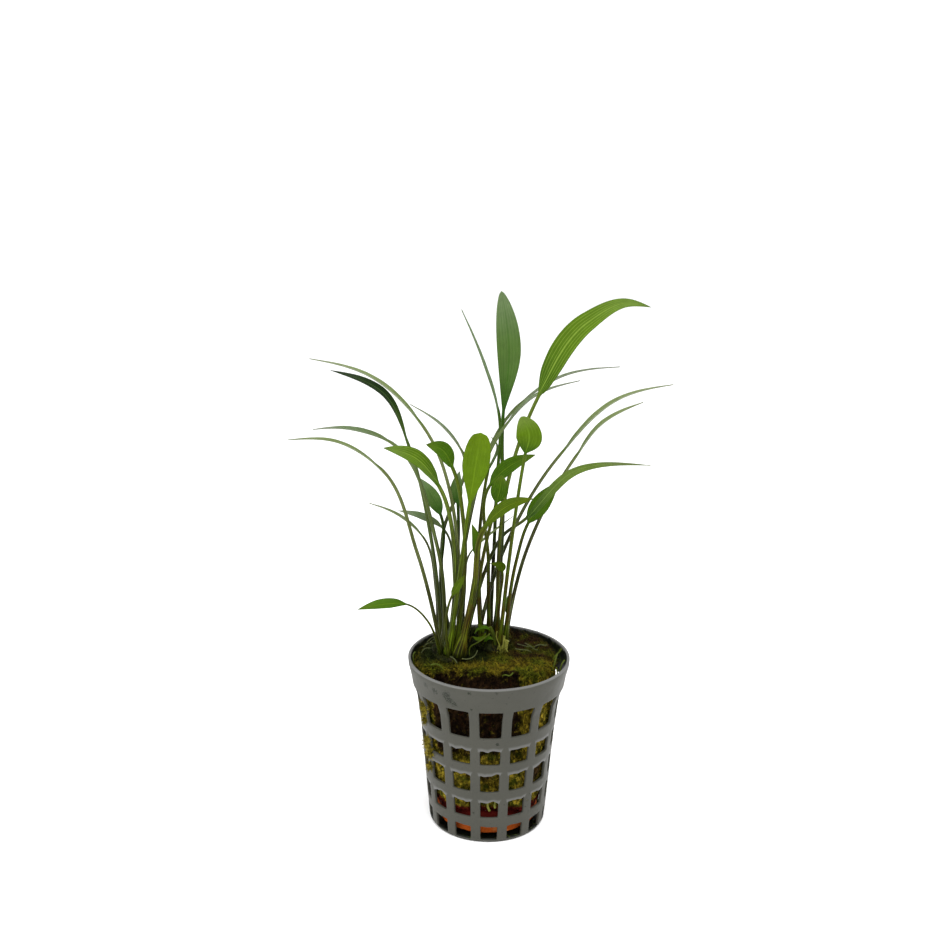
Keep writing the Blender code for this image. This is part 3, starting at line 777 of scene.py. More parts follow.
graph, given = geometry_tree("strands", {
    "Density": 2000000.0, "Length": 0.003, "Thickness": 0.00012, "Lie": 0.8, "Curl": 0.0012, "Low": 0.0,
    "High": 1.0, "Seed": 1,
})
place = graph.add("GeometryNodeInputPosition")
height = place.parts()[2]
above = graph.add(
    "FunctionNodeCompare", (height, given["Low"]), data_type="FLOAT", operation="GREATER_THAN")
below = graph.add(
    "FunctionNodeCompare", (height, given["High"]), data_type="FLOAT", operation="LESS_THAN")
chosen = graph.add("FunctionNodeBooleanMath", (above, below), operation="AND")
clump = graph.noise(place, 260.0, 2.0).ease(0.35, 0.62, 0.25, 1.0)
roots = graph.add("GeometryNodeDistributePointsOnFaces", {
    "Mesh": given["Geometry"], "Selection": chosen, "Density": given["Density"] * clump,
    "Seed": given["Seed"]}, out="Points")
ground = roots.beside("Normal")


def chance(low, high, salt):
    """A random value for each strand."""
    kind = "FLOAT_VECTOR" if isinstance(low, tuple) else "FLOAT"
    inputs = {"Min": low, "Max": high, "Seed": given["Seed"] + salt}
    return graph.add("FunctionNodeRandomValue", inputs, data_type=kind)


stray = graph.vector("CROSS_PRODUCT", ground, chance((-1.0, -1.0, -1.0), (1.0, 1.0, 1.0), 11))
lying = graph.vector("SCALE", graph.vector("NORMALIZE", stray), given["Lie"])
aim = graph.vector("ADD", graph.vector("SCALE", ground, 1.0 - given["Lie"]), lying)
stand = graph.add("FunctionNodeAlignRotationToVector", {"Vector": aim}, axis="Z")
roots = graph.store(roots, "tone", chance(0.0, 1.0, 23))
strand = graph.add("GeometryNodeMeshCone", {
    "Vertices": 3, "Side Segments": 6, "Radius Top": 0.25, "Radius Bottom": 1.0, "Depth": 1.0,
}, out="Mesh")
tip = graph.add("GeometryNodeInputPosition").parts()[2]
strand = graph.store(strand, "tip", tip)
size = graph.joined(given["Thickness"], given["Thickness"], given["Length"] * chance(0.4, 1.2, 37))
strands = graph.add("GeometryNodeInstanceOnPoints", {
    "Points": roots, "Instance": strand, "Rotation": stand, "Scale": size})
strands = graph.add("GeometryNodeRealizeInstances", (strands,))
tip = graph.stored("tip")
drift = graph.add("ShaderNodeTexNoise", {
    "Vector": graph.add("GeometryNodeInputPosition"), "W": graph.stored("tone") * 9.0, "Scale": 330.0,
    "Detail": 1.0}, out="Color", noise_dimensions="4D")
drift = graph.vector("SUBTRACT", drift, (0.5, 0.5, 0.5))
drift = graph.vector("SCALE", drift, tip * 3.0 * given["Curl"])
strands = graph.moved(strands, Offset=drift)
close_tree(graph, strands, given)
strand_tree = graph.tree


def grow_strands(name, ground, **sizes):
    """A matted layer of strands over a piece."""
    strands = bpy.data.objects.new(name, ground.data.copy())
    bpy.context.scene.collection.objects.link(strands)
    run_tree(strands, strand_tree, strand_finish, **sizes)
    settle(strands)


grow_strands(
    "moss_mat", plug, density=2.4e6, length=0.0034, thickness=0.00011, lie=0.86, curl=0.0014,
    low=0.0563, seed=3)
grow_strands(
    "moss_tips", plug, density=1.6e6, length=0.0016, thickness=0.00014, lie=0.45, curl=0.0007,
    low=0.0555, seed=5)
grow_strands(
    "wool_fibres", plug, density=3.0e5, length=0.0022, thickness=0.0001, lie=0.93, curl=0.0009,
    low=0.0105, high=0.0563, seed=8)
grow_strands(
    "gap_moss_tips", gap_moss, density=3.0e6, length=0.002, thickness=0.0001, lie=0.6, curl=0.001,
    low=0.0505, seed=12)
grow_strands(
    "rib_moss_tips", rib_moss, density=1.2e7, length=0.0016, thickness=0.00009, lie=0.6, curl=0.0009,
    low=0.01, seed=17)
for crown, seed in zip(crowns, (14, 15)):
    grow_strands(
        crown.name + "_moss", crown, density=2.6e6, length=0.0026, thickness=0.0001, lie=0.7,
        curl=0.0012, low=0.0582, seed=seed)

# Leaves. Each is grown in one piece, a juicy stalk that widens into a thin blade
# folded along its midrib, with parallel veins that run together at the tip. The
# stalks come out of the two crowns side by side.
LEAF_FOOT_HEIGHT = 60.9
LEAF_SUNK_HEIGHT = 58.8
STALK_TAPER = 0.75
CURVE_STEPS = 24
STALK_ROWS = 0.36
FLARE_LENGTH = 0.011
LEAST_HALF_WIDTH = 0.00012
SKIN = 0.00009
SKIN_AT_RIB = 0.00014

graph, given = geometry_tree("leaf_form", {
    "Collar": 0.6, "Length": 0.1, "Width": 0.006, "Stalk": 0.0006, "Foot Flare": 1.5, "Bend": 0.8,
    "Tip Point": 0.9, "Fold": 0.28, "Ruffle": 0.12, "Edge Curl": 0.0, "Seed": 1.0,
})
leaf_tree = graph.tree
midrib = graph.add("GeometryNodeMeshToCurve", (given["Geometry"],))
net, around, row = graph.net(29, 90)
# The midrib's line at each row of the net, and the directions across and up from it.
on_stalk = (row / STALK_ROWS).clamped()
on_blade = ((row - STALK_ROWS) / (1 - STALK_ROWS)).clamped()
share_along = on_stalk * given["Collar"] + on_blade * (1.0 - given["Collar"])
side = graph.add("GeometryNodeSampleCurve", {
    "Curves": midrib, "Value": graph.stored("side", "FLOAT_VECTOR"), "Factor": share_along,
}, mode="FACTOR", data_type="FLOAT_VECTOR")
middle, way = side.beside("Position"), side.beside("Tangent")
lean = graph.vector("SCALE", way, graph.dot(side, way))
side = graph.vector("NORMALIZE", graph.vector("SUBTRACT", side, lean))
up = graph.vector("CROSS_PRODUCT", side, way)
turn = around * -math.tau
across = turn.cosine()
facing = turn.sine()
wide = abs(across)

# The half width of the stalk and of the blade, and the thickness, with a rib below.
flare = (share_along * given["Length"]).ease(0.0, FLARE_LENGTH, given["Foot Flare"], 1.0)
taper = 1.0 - on_stalk * (1 - STALK_TAPER)
stalk_radius = given["Stalk"] * taper * flare
peak = on_blade ** given["Bend"]
share = graph.larger((math.pi * peak).sine(), 0.0)
share = graph.blend(graph.math("GREATER_THAN", peak, 0.5), share, share ** given["Tip Point"])
half_width = graph.larger(given["Width"] * 0.5 * share, stalk_radius * (1.0 - on_blade))
half_width = graph.larger(half_width, LEAST_HALF_WIDTH)
flat = on_blade.ease(0.0, 0.16)
rib = wide.ease(0.0, 0.22, 1.0, 0.0)
rib_height = stalk_radius * on_blade.ease(0.1, 1.0, 0.5, 0.08)
under_rib = rib * rib_height * graph.math("LESS_THAN", facing, 0.0)
skin = graph.blend(rib, SKIN, SKIN_AT_RIB) * facing - under_rib
thick = graph.blend(flat, stalk_radius * facing, skin)
# The blade is folded along its midrib, wavy, and curled at its edges.
crease = graph.math("SQRT", wide ** 2.0 + 0.012) - 0.11
lift = crease * given["Fold"]
wave_place = graph.joined(on_blade * 7.0, across * 0.9, given["Seed"])
wave = graph.noise(wave_place, 1.0, 1.0) - 0.5
lift = lift + wave * given["Ruffle"] * wide
lift = lift + wide ** 3.0 * given["Edge Curl"]
lift = (flat * half_width).times_plus(lift, thick)
shut = graph.math("GREATER_THAN", row, 0.0001) * graph.math("LESS_THAN", row, 0.9999)
reach = across * half_width * shut
place = graph.vector("ADD", graph.vector("SCALE", side, reach), graph.vector("SCALE", up, lift * shut))
leaf_map = graph.joined(across, on_blade + (on_stalk - 1.0), facing)
leaf_form = graph.store(net, "leaf_map", leaf_map, "FLOAT_VECTOR")
leaf_form = graph.moved(leaf_form, Position=graph.vector("ADD", middle, place))
leaf_form = graph.weld(leaf_form, 0.000005)
close_tree(graph, leaf_form, given)


def leaf_finish(name, blade, collar, tip, under, stalk, foot, midrib, veins=0.35, roughness=0.38):
    """Leaf skin: parallel veins, a pale midrib, and a stalk that darkens to its foot, with painted shade
    and painted streaks of shadow and highlight on the stalks.
    """
    surface, graph, shader = finish(name, roughness, 0.05)
    place = graph.object_place()
    leaf_map = graph.painted("leaf_map", out="Vector")
    across, along, facing = leaf_map.parts()
    mottle = graph.noise(place, 380.0, 4.0, 0.6)
    cloud = graph.noise(place, 70.0, 2.0)
    x, y, height = place.parts()
    colour = graph.tint(along.ease(0.0, 0.5), collar, blade)
    colour = graph.tint(along.ease(0.55, 1.0), colour, tip)
    colour = graph.tint(facing.ease(-0.3, 0.0, 0.85, 0.0), colour, under)
    colour = graph.tint(cloud.ease(0.35, 0.65, 0.0, 0.35), colour, (0.5, 0.5, 0.5), "OVERLAY")
    sway = graph.noise(graph.vector("MULTIPLY", leaf_map, (1.0, 3.0, 1.0)), 2.0)
    sway = sway.times_plus(0.9, across * 24.0)
    vein = sway.sine().ease(0.45, 1.0)
    fibre = graph.noise(graph.vector("MULTIPLY", leaf_map, (16.0, 3.0, 1.0)), 1.6, 3.0, 0.6)
    colour = graph.tint(vein * veins, colour, midrib)
    colour = graph.tint(fibre.ease(0.35, 0.75, 0.0, 0.18), colour, under)
    rib = abs(across).ease(0.02, 0.09, 1.0, 0.0)
    colour = graph.tint(rib * along.ease(0.1, 1.0, 0.85, 0.25), colour, midrib)
    edge = abs(across).ease(0.9, 1.0, 0.0, 0.25)
    colour = graph.tint(edge, colour, stalk)
    streak = graph.noise(graph.vector("MULTIPLY", leaf_map, (5.0, 3.5, 5.0)), 1.5, 3.0, 0.6)
    stalk_colour = graph.tint(height.ease(0.059, 0.09), foot, stalk)
    stalk_colour = graph.tint(height.ease(0.095, 0.125, 0.0, 0.35), stalk_colour, midrib)
    warm = graph.noise(place, 150.0).ease(0.42, 0.54, 0.0, 0.95)
    warm = warm * height.ease(0.066, 0.115, 1.0, 0.0)
    warm = warm * x.ease(-0.0095, -0.006, 0.15, 1.0)
    stalk_colour = graph.tint(warm, stalk_colour, (0.07, 0.03, 0.003))
    # Painted shade: the stalks of the back row are darker low down, among the crowded stalks.
    back_stalk_shade = y.ease(0.003, 0.009, 0.0, 0.6) * height.ease(0.09, 0.13, 1.0, 0.0)
    stalk_colour = graph.tint(back_stalk_shade, stalk_colour, (0.008, 0.008, 0.0015))
    # Painted shadows in dark streaks between the stalks, and painted highlights in pale streaks along them.
    shadow_streak = streak.ease(0.44, 0.56) * height.ease(0.08, 0.125, 0.9, 0.3)
    stalk_colour = graph.tint(shadow_streak, stalk_colour, (0.005, 0.007, 0.001))
    stalk_colour = graph.tint(streak.ease(0.38, 0.46, 0.7, 0.0), stalk_colour, midrib)
    # Painted shade: the foot of each stalk is near black, down in the clump.
    foot_shade = height.ease(0.0595, 0.064, 0.75, 0.0)
    stalk_colour = graph.tint(foot_shade, stalk_colour, (0.004, 0.007, 0.001))
    colour = graph.tint(along.ease(-0.03, 0.06), stalk_colour, colour)
    colour = graph.tint(mottle.ease(0.3, 0.7, 0.0, 0.25), colour, (0.25, 0.25, 0.25), "OVERLAY")
    shine = mottle.ease(0.2, 0.8, roughness - 0.06, roughness + 0.1)
    wire(graph, shader, colour, shine, vein + mottle * 0.8, 0.00005)
    return surface


# Each row has the colours of the blade, its collar, its tip and its underside, and of
# the stalk, its foot and the midrib.
looks = {}
for look, *colours, how in (
    ("fresh_green", (0.056, 0.11, 0.003), (0.028, 0.074, 0.001), (0.085, 0.14, 0.025), (0.1, 0.16, 0.02),
     (0.06, 0.082, 0.009), (0.07, 0.105, 0.003), (0.16, 0.24, 0.03), {"veins": 0.55}),
    ("mid_green", (0.035, 0.09, 0.001), (0.03, 0.08, 0.0008), (0.062, 0.11, 0.006), (0.07, 0.12, 0.015),
     (0.064, 0.078, 0.008), (0.056, 0.066, 0.002), (0.09, 0.155, 0.008), {}),
    ("bright_green", (0.072, 0.135, 0.0008), (0.072, 0.13, 0.002), (0.08, 0.142, 0.0006),
     (0.11, 0.18, 0.01), (0.064, 0.09, 0.005), (0.078, 0.11, 0.003), (0.11, 0.19, 0.006), {"veins": 0.2}),
    ("grey_green", (0.056, 0.105, 0.02), (0.013, 0.055, 0.0006), (0.11, 0.16, 0.07), (0.1, 0.15, 0.06),
     (0.044, 0.08, 0.004), (0.034, 0.038, 0.003), (0.03, 0.085, 0.008), {}),
    ("deep_green", (0.002, 0.0105, 0.0012), (0.036, 0.075, 0.005), (0.014, 0.024, 0.012),
     (0.05, 0.07, 0.02), (0.075, 0.1, 0.025), (0.06, 0.065, 0.008), (0.07, 0.13, 0.03),
     {"veins": 0.15, "roughness": 0.3}),
    ("pale_olive", (0.115, 0.155, 0.05), (0.05, 0.09, 0.006), (0.15, 0.18, 0.08), (0.18, 0.22, 0.11),
     (0.08, 0.098, 0.022), (0.045, 0.048, 0.004), (0.18, 0.22, 0.09), {}),
    ("smoky_green", (0.085, 0.128, 0.052), (0.066, 0.095, 0.024), (0.17, 0.19, 0.13), (0.15, 0.18, 0.1),
     (0.08, 0.105, 0.02), (0.045, 0.05, 0.004), (0.12, 0.17, 0.075), {}),
    ("olive_green", (0.04, 0.075, 0.0008), (0.038, 0.068, 0.0006), (0.058, 0.085, 0.0015),
     (0.08, 0.12, 0.01), (0.058, 0.07, 0.004), (0.034, 0.034, 0.002), (0.1, 0.14, 0.008), {}),
    ("cupped_green", (0.056, 0.108, 0.001), (0.016, 0.055, 0.0005), (0.1, 0.15, 0.025),
     (0.1, 0.16, 0.015), (0.064, 0.09, 0.006), (0.06, 0.07, 0.003), (0.1, 0.18, 0.01), {"veins": 0.3}),
    ("two_tone_green", (0.09, 0.145, 0.02), (0.012, 0.05, 0.0005), (0.15, 0.18, 0.08), (0.12, 0.17, 0.04),
     (0.08, 0.098, 0.015), (0.045, 0.048, 0.003), (0.16, 0.24, 0.05), {}),
):
    looks[look] = leaf_finish("leaf_" + look, *colours, **how)


def smooth_route(points):
    """Points close together on one smooth curve through the given ones."""
    spans = [(b - a).length for a, b in zip(points, points[1:])]
    slopes = [(b - a) / span for a, b, span in zip(points, points[1:], spans)]
    tangents = []
    for before, after, slope_in, slope_out in zip(spans, spans[1:], slopes, slopes[1:]):
        tangents.append((slope_in * after + slope_out * before) / (before + after))
    tangents.insert(0, 1.5 * slopes[0] - 0.5 * tangents[0])
    tangents.append(1.5 * slopes[-1] - 0.5 * tangents[-1])
    curve = [points[0]]
    for i, span in enumerate(spans):
        handle_out = points[i] + tangents[i] * span / 3
        handle_in = points[i + 1] - tangents[i + 1] * span / 3
        curve += interpolate_bezier(points[i], handle_out, handle_in, points[i + 1], CURVE_STEPS)[1:]
    return curve


def leaf_along(name, node, surface, curve, collar_at, faces, **shape):
    """One leaf on a curve in millimetres, whose blade begins at point collar_at."""
    lengths = [0.0]
    for a, b in zip(curve, curve[1:]):
        lengths.append(lengths[-1] + (b - a).length)
    ways = [(b - a).normalized() for a, b in zip(curve, curve[1:])]
    ways.append(ways[-1])
    sides = [None] * len(curve)
    sides[collar_at] = ways[collar_at].cross(Vector(faces)).normalized()
    for k in range(collar_at + 1, len(curve)):
        sides[k] = ways[k - 1].rotation_difference(ways[k]) @ sides[k - 1]
    for k in range(collar_at - 1, -1, -1):
        sides[k] = ways[k + 1].rotation_difference(ways[k]) @ sides[k + 1]
    line = [(k, k + 1) for k in range(len(curve) - 1)]
    leaf = seed_object(name, [point * MM for point in curve], line, side=sides)
    run_tree(
        leaf, leaf_tree, surface, collar=lengths[collar_at] / lengths[-1], length=lengths[-1] * MM, **shape)
    settle(leaf, *node)


def grow_leaf(name, look, foot, middle, collar, blade, tip, width, faces,
              stalk=0.68, widest=0.42, tip_point=0.9, **shape):
    """One leaf along the points of its midrib, with its upper side turned to faces."""
    points = [Vector((*foot, LEAF_FOOT_HEIGHT)), Vector(middle), Vector(collar)]
    points += [Vector(point) for point in (blade if isinstance(blade[0], tuple) else (blade,))]
    curve = smooth_route(points + [Vector(tip)])
    first_way = (curve[1] - curve[0]).normalized()
    sunk = curve[0] - first_way * (LEAF_FOOT_HEIGHT - LEAF_SUNK_HEIGHT) / first_way.z
    curve.insert(0, sunk)
    leaf_along(
        name + "_grown", (name,), looks[look], curve, 2 * (CURVE_STEPS - 1) + 1, faces, width=width * MM,
        stalk=stalk * MM, bend=math.log(0.5) / math.log(widest), tip_point=tip_point,
        seed=0.37 * sum(foot) + 0.1 * tip[0], **shape)


# Each row has the name and the finish, the foot, middle and collar of the stalk, the
# middle and tip of the blade, its width, what its upper side faces, and other sizes
# where they differ from the usual ones.
for *leaf, shape in (
    # the right-hand clump
    ("leaf_tall_middle", "grey_green", (2, 10.5), (4, 10, 100), (3.6, 14.4, 132.5), (5.2, 15, 156),
     (2.5, 13, 174.5), 7.6, (0, -1, 0.1), {"stalk": 0.75, "widest": 0.58, "tip_point": 0.62}),
    ("leaf_tall_thin", "grey_green", (0.5, 14.5), (2, 18, 110), (2.5, 20.5, 133), (-2.5, 23, 149),
     (-10, 26, 166.5), 5, (1, 0.1, 0.3), {}),
    ("leaf_high_right", "fresh_green", (3, 5.5), (6.5, 5, 120), (14.3, -0.3, 144.5),
     ((28, -7, 168.5), (39, -10.5, 175)), (46, -13, 174.2), 7.5, (-0.5, -0.8, 0.3),
     {"stalk": 0.75, "widest": 0.35}),
    ("leaf_right_arch_upper", "pale_olive", (-3.5, 9.5), (5, 12.5, 90.5), (22, 13.5, 121.5),
     (40.5, 16, 139.5), (58.5, 19, 144), 5, (-0.7, 0, 0.7), {"widest": 0.4}),
    ("leaf_right_arch_lower", "pale_olive", (5.5, 7.5), (12, 8, 91.5), (26.5, 7.5, 122.5), (34, 6, 133.5),
     (47, 3, 142), 4, (-0.8, 0, 0.6), {}),
    ("leaf_right_dark", "mid_green", (5.5, 4), (8.5, 5, 88.5), (12, 5.5, 101), (17, 5.5, 109),
     (21.5, 4, 115.5), 6, (-0.4, -0.9, 0), {}),
    ("leaf_right_cupped", "cupped_green", (3.5, 1.5), (7, -5, 102.5), (10, -12, 129), (11, -13.5, 135.5),
     (8.5, -13, 141), 7.8, (0, -1, 0.2), {"widest": 0.5, "tip_point": 0.6}),
    ("leaf_right_pointed", "mid_green", (0, 8), (-0.5, 5, 88), (-0.5, 0.5, 115), (5.5, -3, 122.5),
     (13.5, -7, 127.5), 5, (-0.3, -0.8, 0.6), {}),
    ("leaf_right_small", "mid_green", (-2.5, 5), (-3.5, 1.5, 80), (1.5, -4, 110.5), (2.5, -7, 116),
     (3, -11, 122), 5.5, (0, -1, 0.2), {"widest": 0.5, "tip_point": 0.6}),
    ("leaf_hooked", "mid_green", (-2.5, 13.5), (-3, 15.5, 100), (-1, 15, 115), (1.5, 15.5, 125),
     (0, 17, 126.5), 2.5, (0.9, -0.4, 0), {}),
    ("leaf_young_curled", "olive_green", (2, 4), (3.5, 2, 78), (4, 1, 86), (3, -0.5, 89.3), (0, -2, 90),
     3, (0, -1, 0.5), {"stalk": 0.5}),
    # the left-hand clump
    ("leaf_back_right_long", "smoky_green", (-10, 11.5), (-7, 15, 99), (8, 24, 134.5), (22, 27, 144),
     (42.5, 31, 147), 4, (-0.6, 0.1, 0.8), {}),
    ("leaf_back_right_short", "smoky_green", (-9, 4), (-7.5, 7, 97), (4, 12, 131), (12, 14.5, 139.5),
     (28.5, 19, 145), 4, (-0.75, 0, 0.65), {}),
    ("leaf_right_low_arch", "two_tone_green", (-7.5, 6.5), (4, 12.8, 94), (11, 2.5, 103.5), (26, -5, 122),
     (48, -16, 127), 3.2, (-0.2, -0.8, -0.4), {"widest": 0.3}),
    ("leaf_front_olive", "olive_green", (-9.5, -6), (-5, -8.5, 84), (-2, -11, 105), (4, -14, 112.5),
     (12.5, -20, 117.5), 4.5, (-0.4, -0.6, 0.7), {"stalk": 1.15, "foot_flare": 2.3}),
    ("leaf_front_bright", "bright_green", (-13, -5), (-9.5, -6.5, 88), (-7, -9, 109.5), (-5, -12, 125),
     (-3.5, -17, 137), 8.3, (0, -1, 0.1),
     {"stalk": 0.85, "widest": 0.62, "tip_point": 0.3, "foot_flare": 2.2}),
    ("leaf_left_small_upper", "mid_green", (-11, -1.5), (-8.5, -4.5, 104), (-12, -7, 123), (-15, -9, 129),
     (-20, -13, 132), 5.5, (0.3, -0.7, 0.7), {"stalk": 0.8, "foot_flare": 2.4}),
    ("leaf_left_front_broad", "fresh_green", (-13, -2), (-11.5, -4, 97.5), (-16, -9, 117.5),
     (-23, -13, 127.5), (-32.5, -19, 132.5), 6.2, (0.3, -0.5, 0.8), {"stalk": 0.85, "foot_flare": 2.4}),
    ("leaf_left_back_broad", "grey_green", (-15, 8), (-16, 9, 82), (-16, 10, 102), (-19, 12, 107.5),
     (-23, 15, 113), 5, (0.4, -0.9, 0.2), {}),
    ("leaf_middle_dark", "grey_green", (-12, 9.5), (-10.5, 9.5, 86), (-10.5, 9, 106), (-11, 9.5, 111.5),
     (-10, 10, 117), 4, (0, -1, 0), {}),
    ("leaf_back_left_bent", "smoky_green", (-13.5, 11.5), (-15.5, 15, 93.5), (-9, 23, 119),
     (-14.5, 26, 126), (-27, 32, 133.5), 3.5, (0.5, 0.1, 0.8), {}),
    ("leaf_left_long", "pale_olive", (-12.5, 1.5), (-10.5, 4, 95.5), (-21.5, 9.5, 131.5),
     (-37.5, 14, 146), (-58.5, 18, 151.5), 4.5, (0.6, 0, 0.8), {}),
    ("leaf_left_dark", "deep_green", (-15.5, 3.5), (-19, 3, 97), (-26, 4, 127), (-33.5, 3.5, 143.5),
     (-50, 1, 151.5), 3.5, (0.5, -0.4, 0.8), {"widest": 0.48}),
    ("leaf_left_arch", "smoky_green", (-14.5, 0.5), (-17, -1, 96), (-31, 1, 128.5), (-43, 5, 131.5),
     (-57, 11, 130), 4.4, (0.3, -0.1, 1), {"stalk": 0.7, "foot_flare": 2.4}),
    ("leaf_far_left", "pale_olive", (-15.5, -3.5), (-23, -8, 96), (-33, -12.5, 123.5), (-46, -17, 133.5),
     (-60.5, -22, 135.5), 2.8, (0.5, 0, 0.9), {}),
    ("leaf_left_thin", "pale_olive", (-17, 5), (-17.5, 6, 78), (-21.5, 8, 95), (-29, 9.5, 101.5),
     (-39.5, 13, 105), 3, (0.5, 0, 0.9), {"stalk": 0.5}),
    ("leaf_left_narrow", "smoky_green", (-12.5, 6.5), (-11.5, 7.5, 80), (-15.5, 12, 97), (-22, 15, 99.5),
     (-30.5, 19, 100.5), 4, (0.2, -0.3, 1), {"stalk": 0.5}),
    ("leaf_left_low", "mid_green", (-16, -5), (-19.5, -7, 72), (-26, -11, 79.5), (-33.5, -14, 80.5),
     (-41, -17, 80), 4.2, (0, -0.5, 1), {"stalk": 0.4}),
    ("leaf_young_front", "olive_green", (-13, -7), (-13.5, -9, 76), (-12, -10, 82), (-10, -10.5, 86),
     (-8, -11, 89.5), 2.5, (0, -1, 0), {"stalk": 0.5}),
    ("leaf_young_middle", "mid_green", (-8, 3), (-6.5, 3, 74), (-4.5, 1.5, 91), (-4.5, 1, 97.5),
     (-6, 2, 102), 3, (0, -1, 0), {"stalk": 0.5}),
    ("leaf_young_thin", "pale_olive", (-8.5, 8), (-8, 9, 76), (-6.5, 10, 89), (0, 13, 94.5),
     (7.5, 16, 100), 1.5, (0, 0, 1), {"stalk": 0.4}),
):
    grow_leaf(*leaf, **shape)

# Small growth on the moss: curled seedlings, a sprout with a thread-thin stem, white
# roots that dive into the moss, and loose pale fibres lying over it.


def streaked_finish(name, roughness, specular, upright, scale, dark, pale):
    """A finish of fine streaks, drawn out along the height by a small upright value."""
    surface, graph, shader = finish(name, roughness, specular)
    place = graph.vector("MULTIPLY", graph.object_place(), (1.0, 1.0, upright))
    streak = graph.noise(place, scale, 3.0)
    wire(graph, shader, graph.tint(streak, dark, pale), relief=streak, height=0.00005)
    return surface


sprout_finish = streaked_finish(
    "sprout_yellow_green", 0.6, 0.1, 0.3, 1500.0, (0.01, 0.02, 0.001), (0.085, 0.11, 0.008))
root_finish = streaked_finish(
    "root_white", 0.6, 0.15, 1.0, 1200.0, (0.03, 0.034, 0.002), (0.27, 0.27, 0.045))
fibre_finish = streaked_finish(
    "fibre_grey_green", 0.6, 0.1, 1.0, 900.0, (0.006, 0.01, 0.004), (0.12, 0.135, 0.05))

RUNNER_STRIDE = 4
RUNNER_TAPER = 0.65
SEEDLING_STALK = 0.25

graph, given = geometry_tree("runner", {"Thickness": 0.00015})
runner_tree = graph.tree
runner = graph.add("GeometryNodeMeshToCurve", (given["Geometry"],))
runner = graph.add("GeometryNodeSetCurveRadius", {"Curve": runner, "Radius": graph.stored("thick")})
ring = graph.add(
    "GeometryNodeCurvePrimitiveCircle", {"Resolution": 6, "Radius": given["Thickness"]}, mode="RADIUS")
runner = graph.add("GeometryNodeCurveToMesh", {"Curve": runner, "Profile Curve": ring, "Fill Caps": True})
close_tree(graph, runner, given)


def grow_runners(name, surface, slot, thickness, *routes):
    """Thin round stems or roots, thickest at their first point, as one piece of mesh."""
    points, lines, thick = [], [], []
    for route in routes:
        curve = smooth_route([Vector(point) for point in route])[::RUNNER_STRIDE]
        lines += [(len(points) + k, len(points) + k + 1) for k in range(len(curve) - 1)]
        thick += [1.0 - RUNNER_TAPER * k / len(curve) for k in range(len(curve))]
        points += [point * MM for point in curve]
    runners = seed_object(name, points, lines, thick=thick)
    run_tree(runners, runner_tree, surface, thickness=thickness * MM)
    settle(runners)


grow_runners(
    "sprout_stems", sprout_finish, "leaf", 0.24,
    ((4.0, 4, 58.0), (4.9, 5, 61.9), (5.2, 5, 66), (5.8, 5, 71.5)),
    ((5.0, 4.6, 62.5), (5.9, 5, 68), (6.1, 5, 72), (6.5, 5, 75.7)),
    ((-6.3, -3, 58.6), (-6.0, -3, 61.8), (-4.2, -3, 63.0), (-2.1, -2.5, 64.2), (0.3, -2, 66.0)),
    ((19.8, -9, 51), (20.1, -8, 54.5), (21.1, -6.5, 58.2), (21.9, -5, 60.6)),
    ((21.8, -9, 50), (22.6, -8.3, 55), (23.4, -7.6, 58.4), (24.2, -6.8, 59.2)),
    ((20.9, -10.5, 50), (20.8, -9.8, 53), (21.8, -9.2, 55.6), (21.4, -8.6, 57.6)),
    ((20.4, -3, 56), (21.4, -2.4, 58.5), (22.8, -2, 60.0), (23.4, -2.5, 61.2)),
    ((4.2, -13.6, 56.6), (5.2, -14.4, 57.3), (6.4, -14.8, 57.2), (7.6, -13.8, 57.9)),
    ((-24.0, -3, 55), (-24.4, -3.2, 57.4), (-24.3, -3.4, 59.2), (-23.8, -3.6, 60.1)),
    ((-14.6, -12, 57.4), (-15.4, -11.6, 58.8), (-16.8, -11.2, 59.3), (-18.6, -11, 58.8)),
)
grow_runners(
    "sprout_sheath", root_finish, "leaf", 0.8,
    ((3.9, 1.6, 57.6), (4.1, 1.8, 59.6), (4.3, 2.2, 61.4), (4.6, 2.8, 63.4)),
    ((5.0, 2.0, 57.8), (5.4, 2.0, 59.2), (5.6, 2.3, 60.6), (6.0, 2.4, 61.8)),
)
grow_runners(
    "sprout_bases", sprout_finish, "leaf", 0.65,
    ((2.4, 2.8, 58.0), (2.0, 3.0, 61.0), (1.2, 3.2, 64.0), (0.2, 3.2, 66.2)),
)
grow_runners(
    "white_roots", root_finish, "leaf", 0.22,
    ((3.6, 2.0, 64.6), (3.3, 1.4, 62.0), (3.0, 0.8, 60.0), (2.6, 0.2, 58.2)),
    ((2.6, 2.0, 65.2), (2.4, 1.2, 63.4), (3.3, 0.6, 61.2), (3.7, 0.6, 58.6)),
    ((4.9, 2.6, 63.0), (5.4, 1.6, 61.0), (5.6, 1.0, 59.4), (6.2, 0.6, 58.4)),
)
grow_runners(
    "root_ends", root_finish, "leaf", 0.42,
    ((0.3, -15.8, 15.4), (0.0, -17.0, 14.2), (0.1, -17.6, 12.4), (0.7, -17.9, 10.9)),
    ((2.2, -15.8, 14.8), (2.5, -16.8, 14.0), (2.3, -17.5, 12.8), (2.5, -17.7, 11.9)),
)
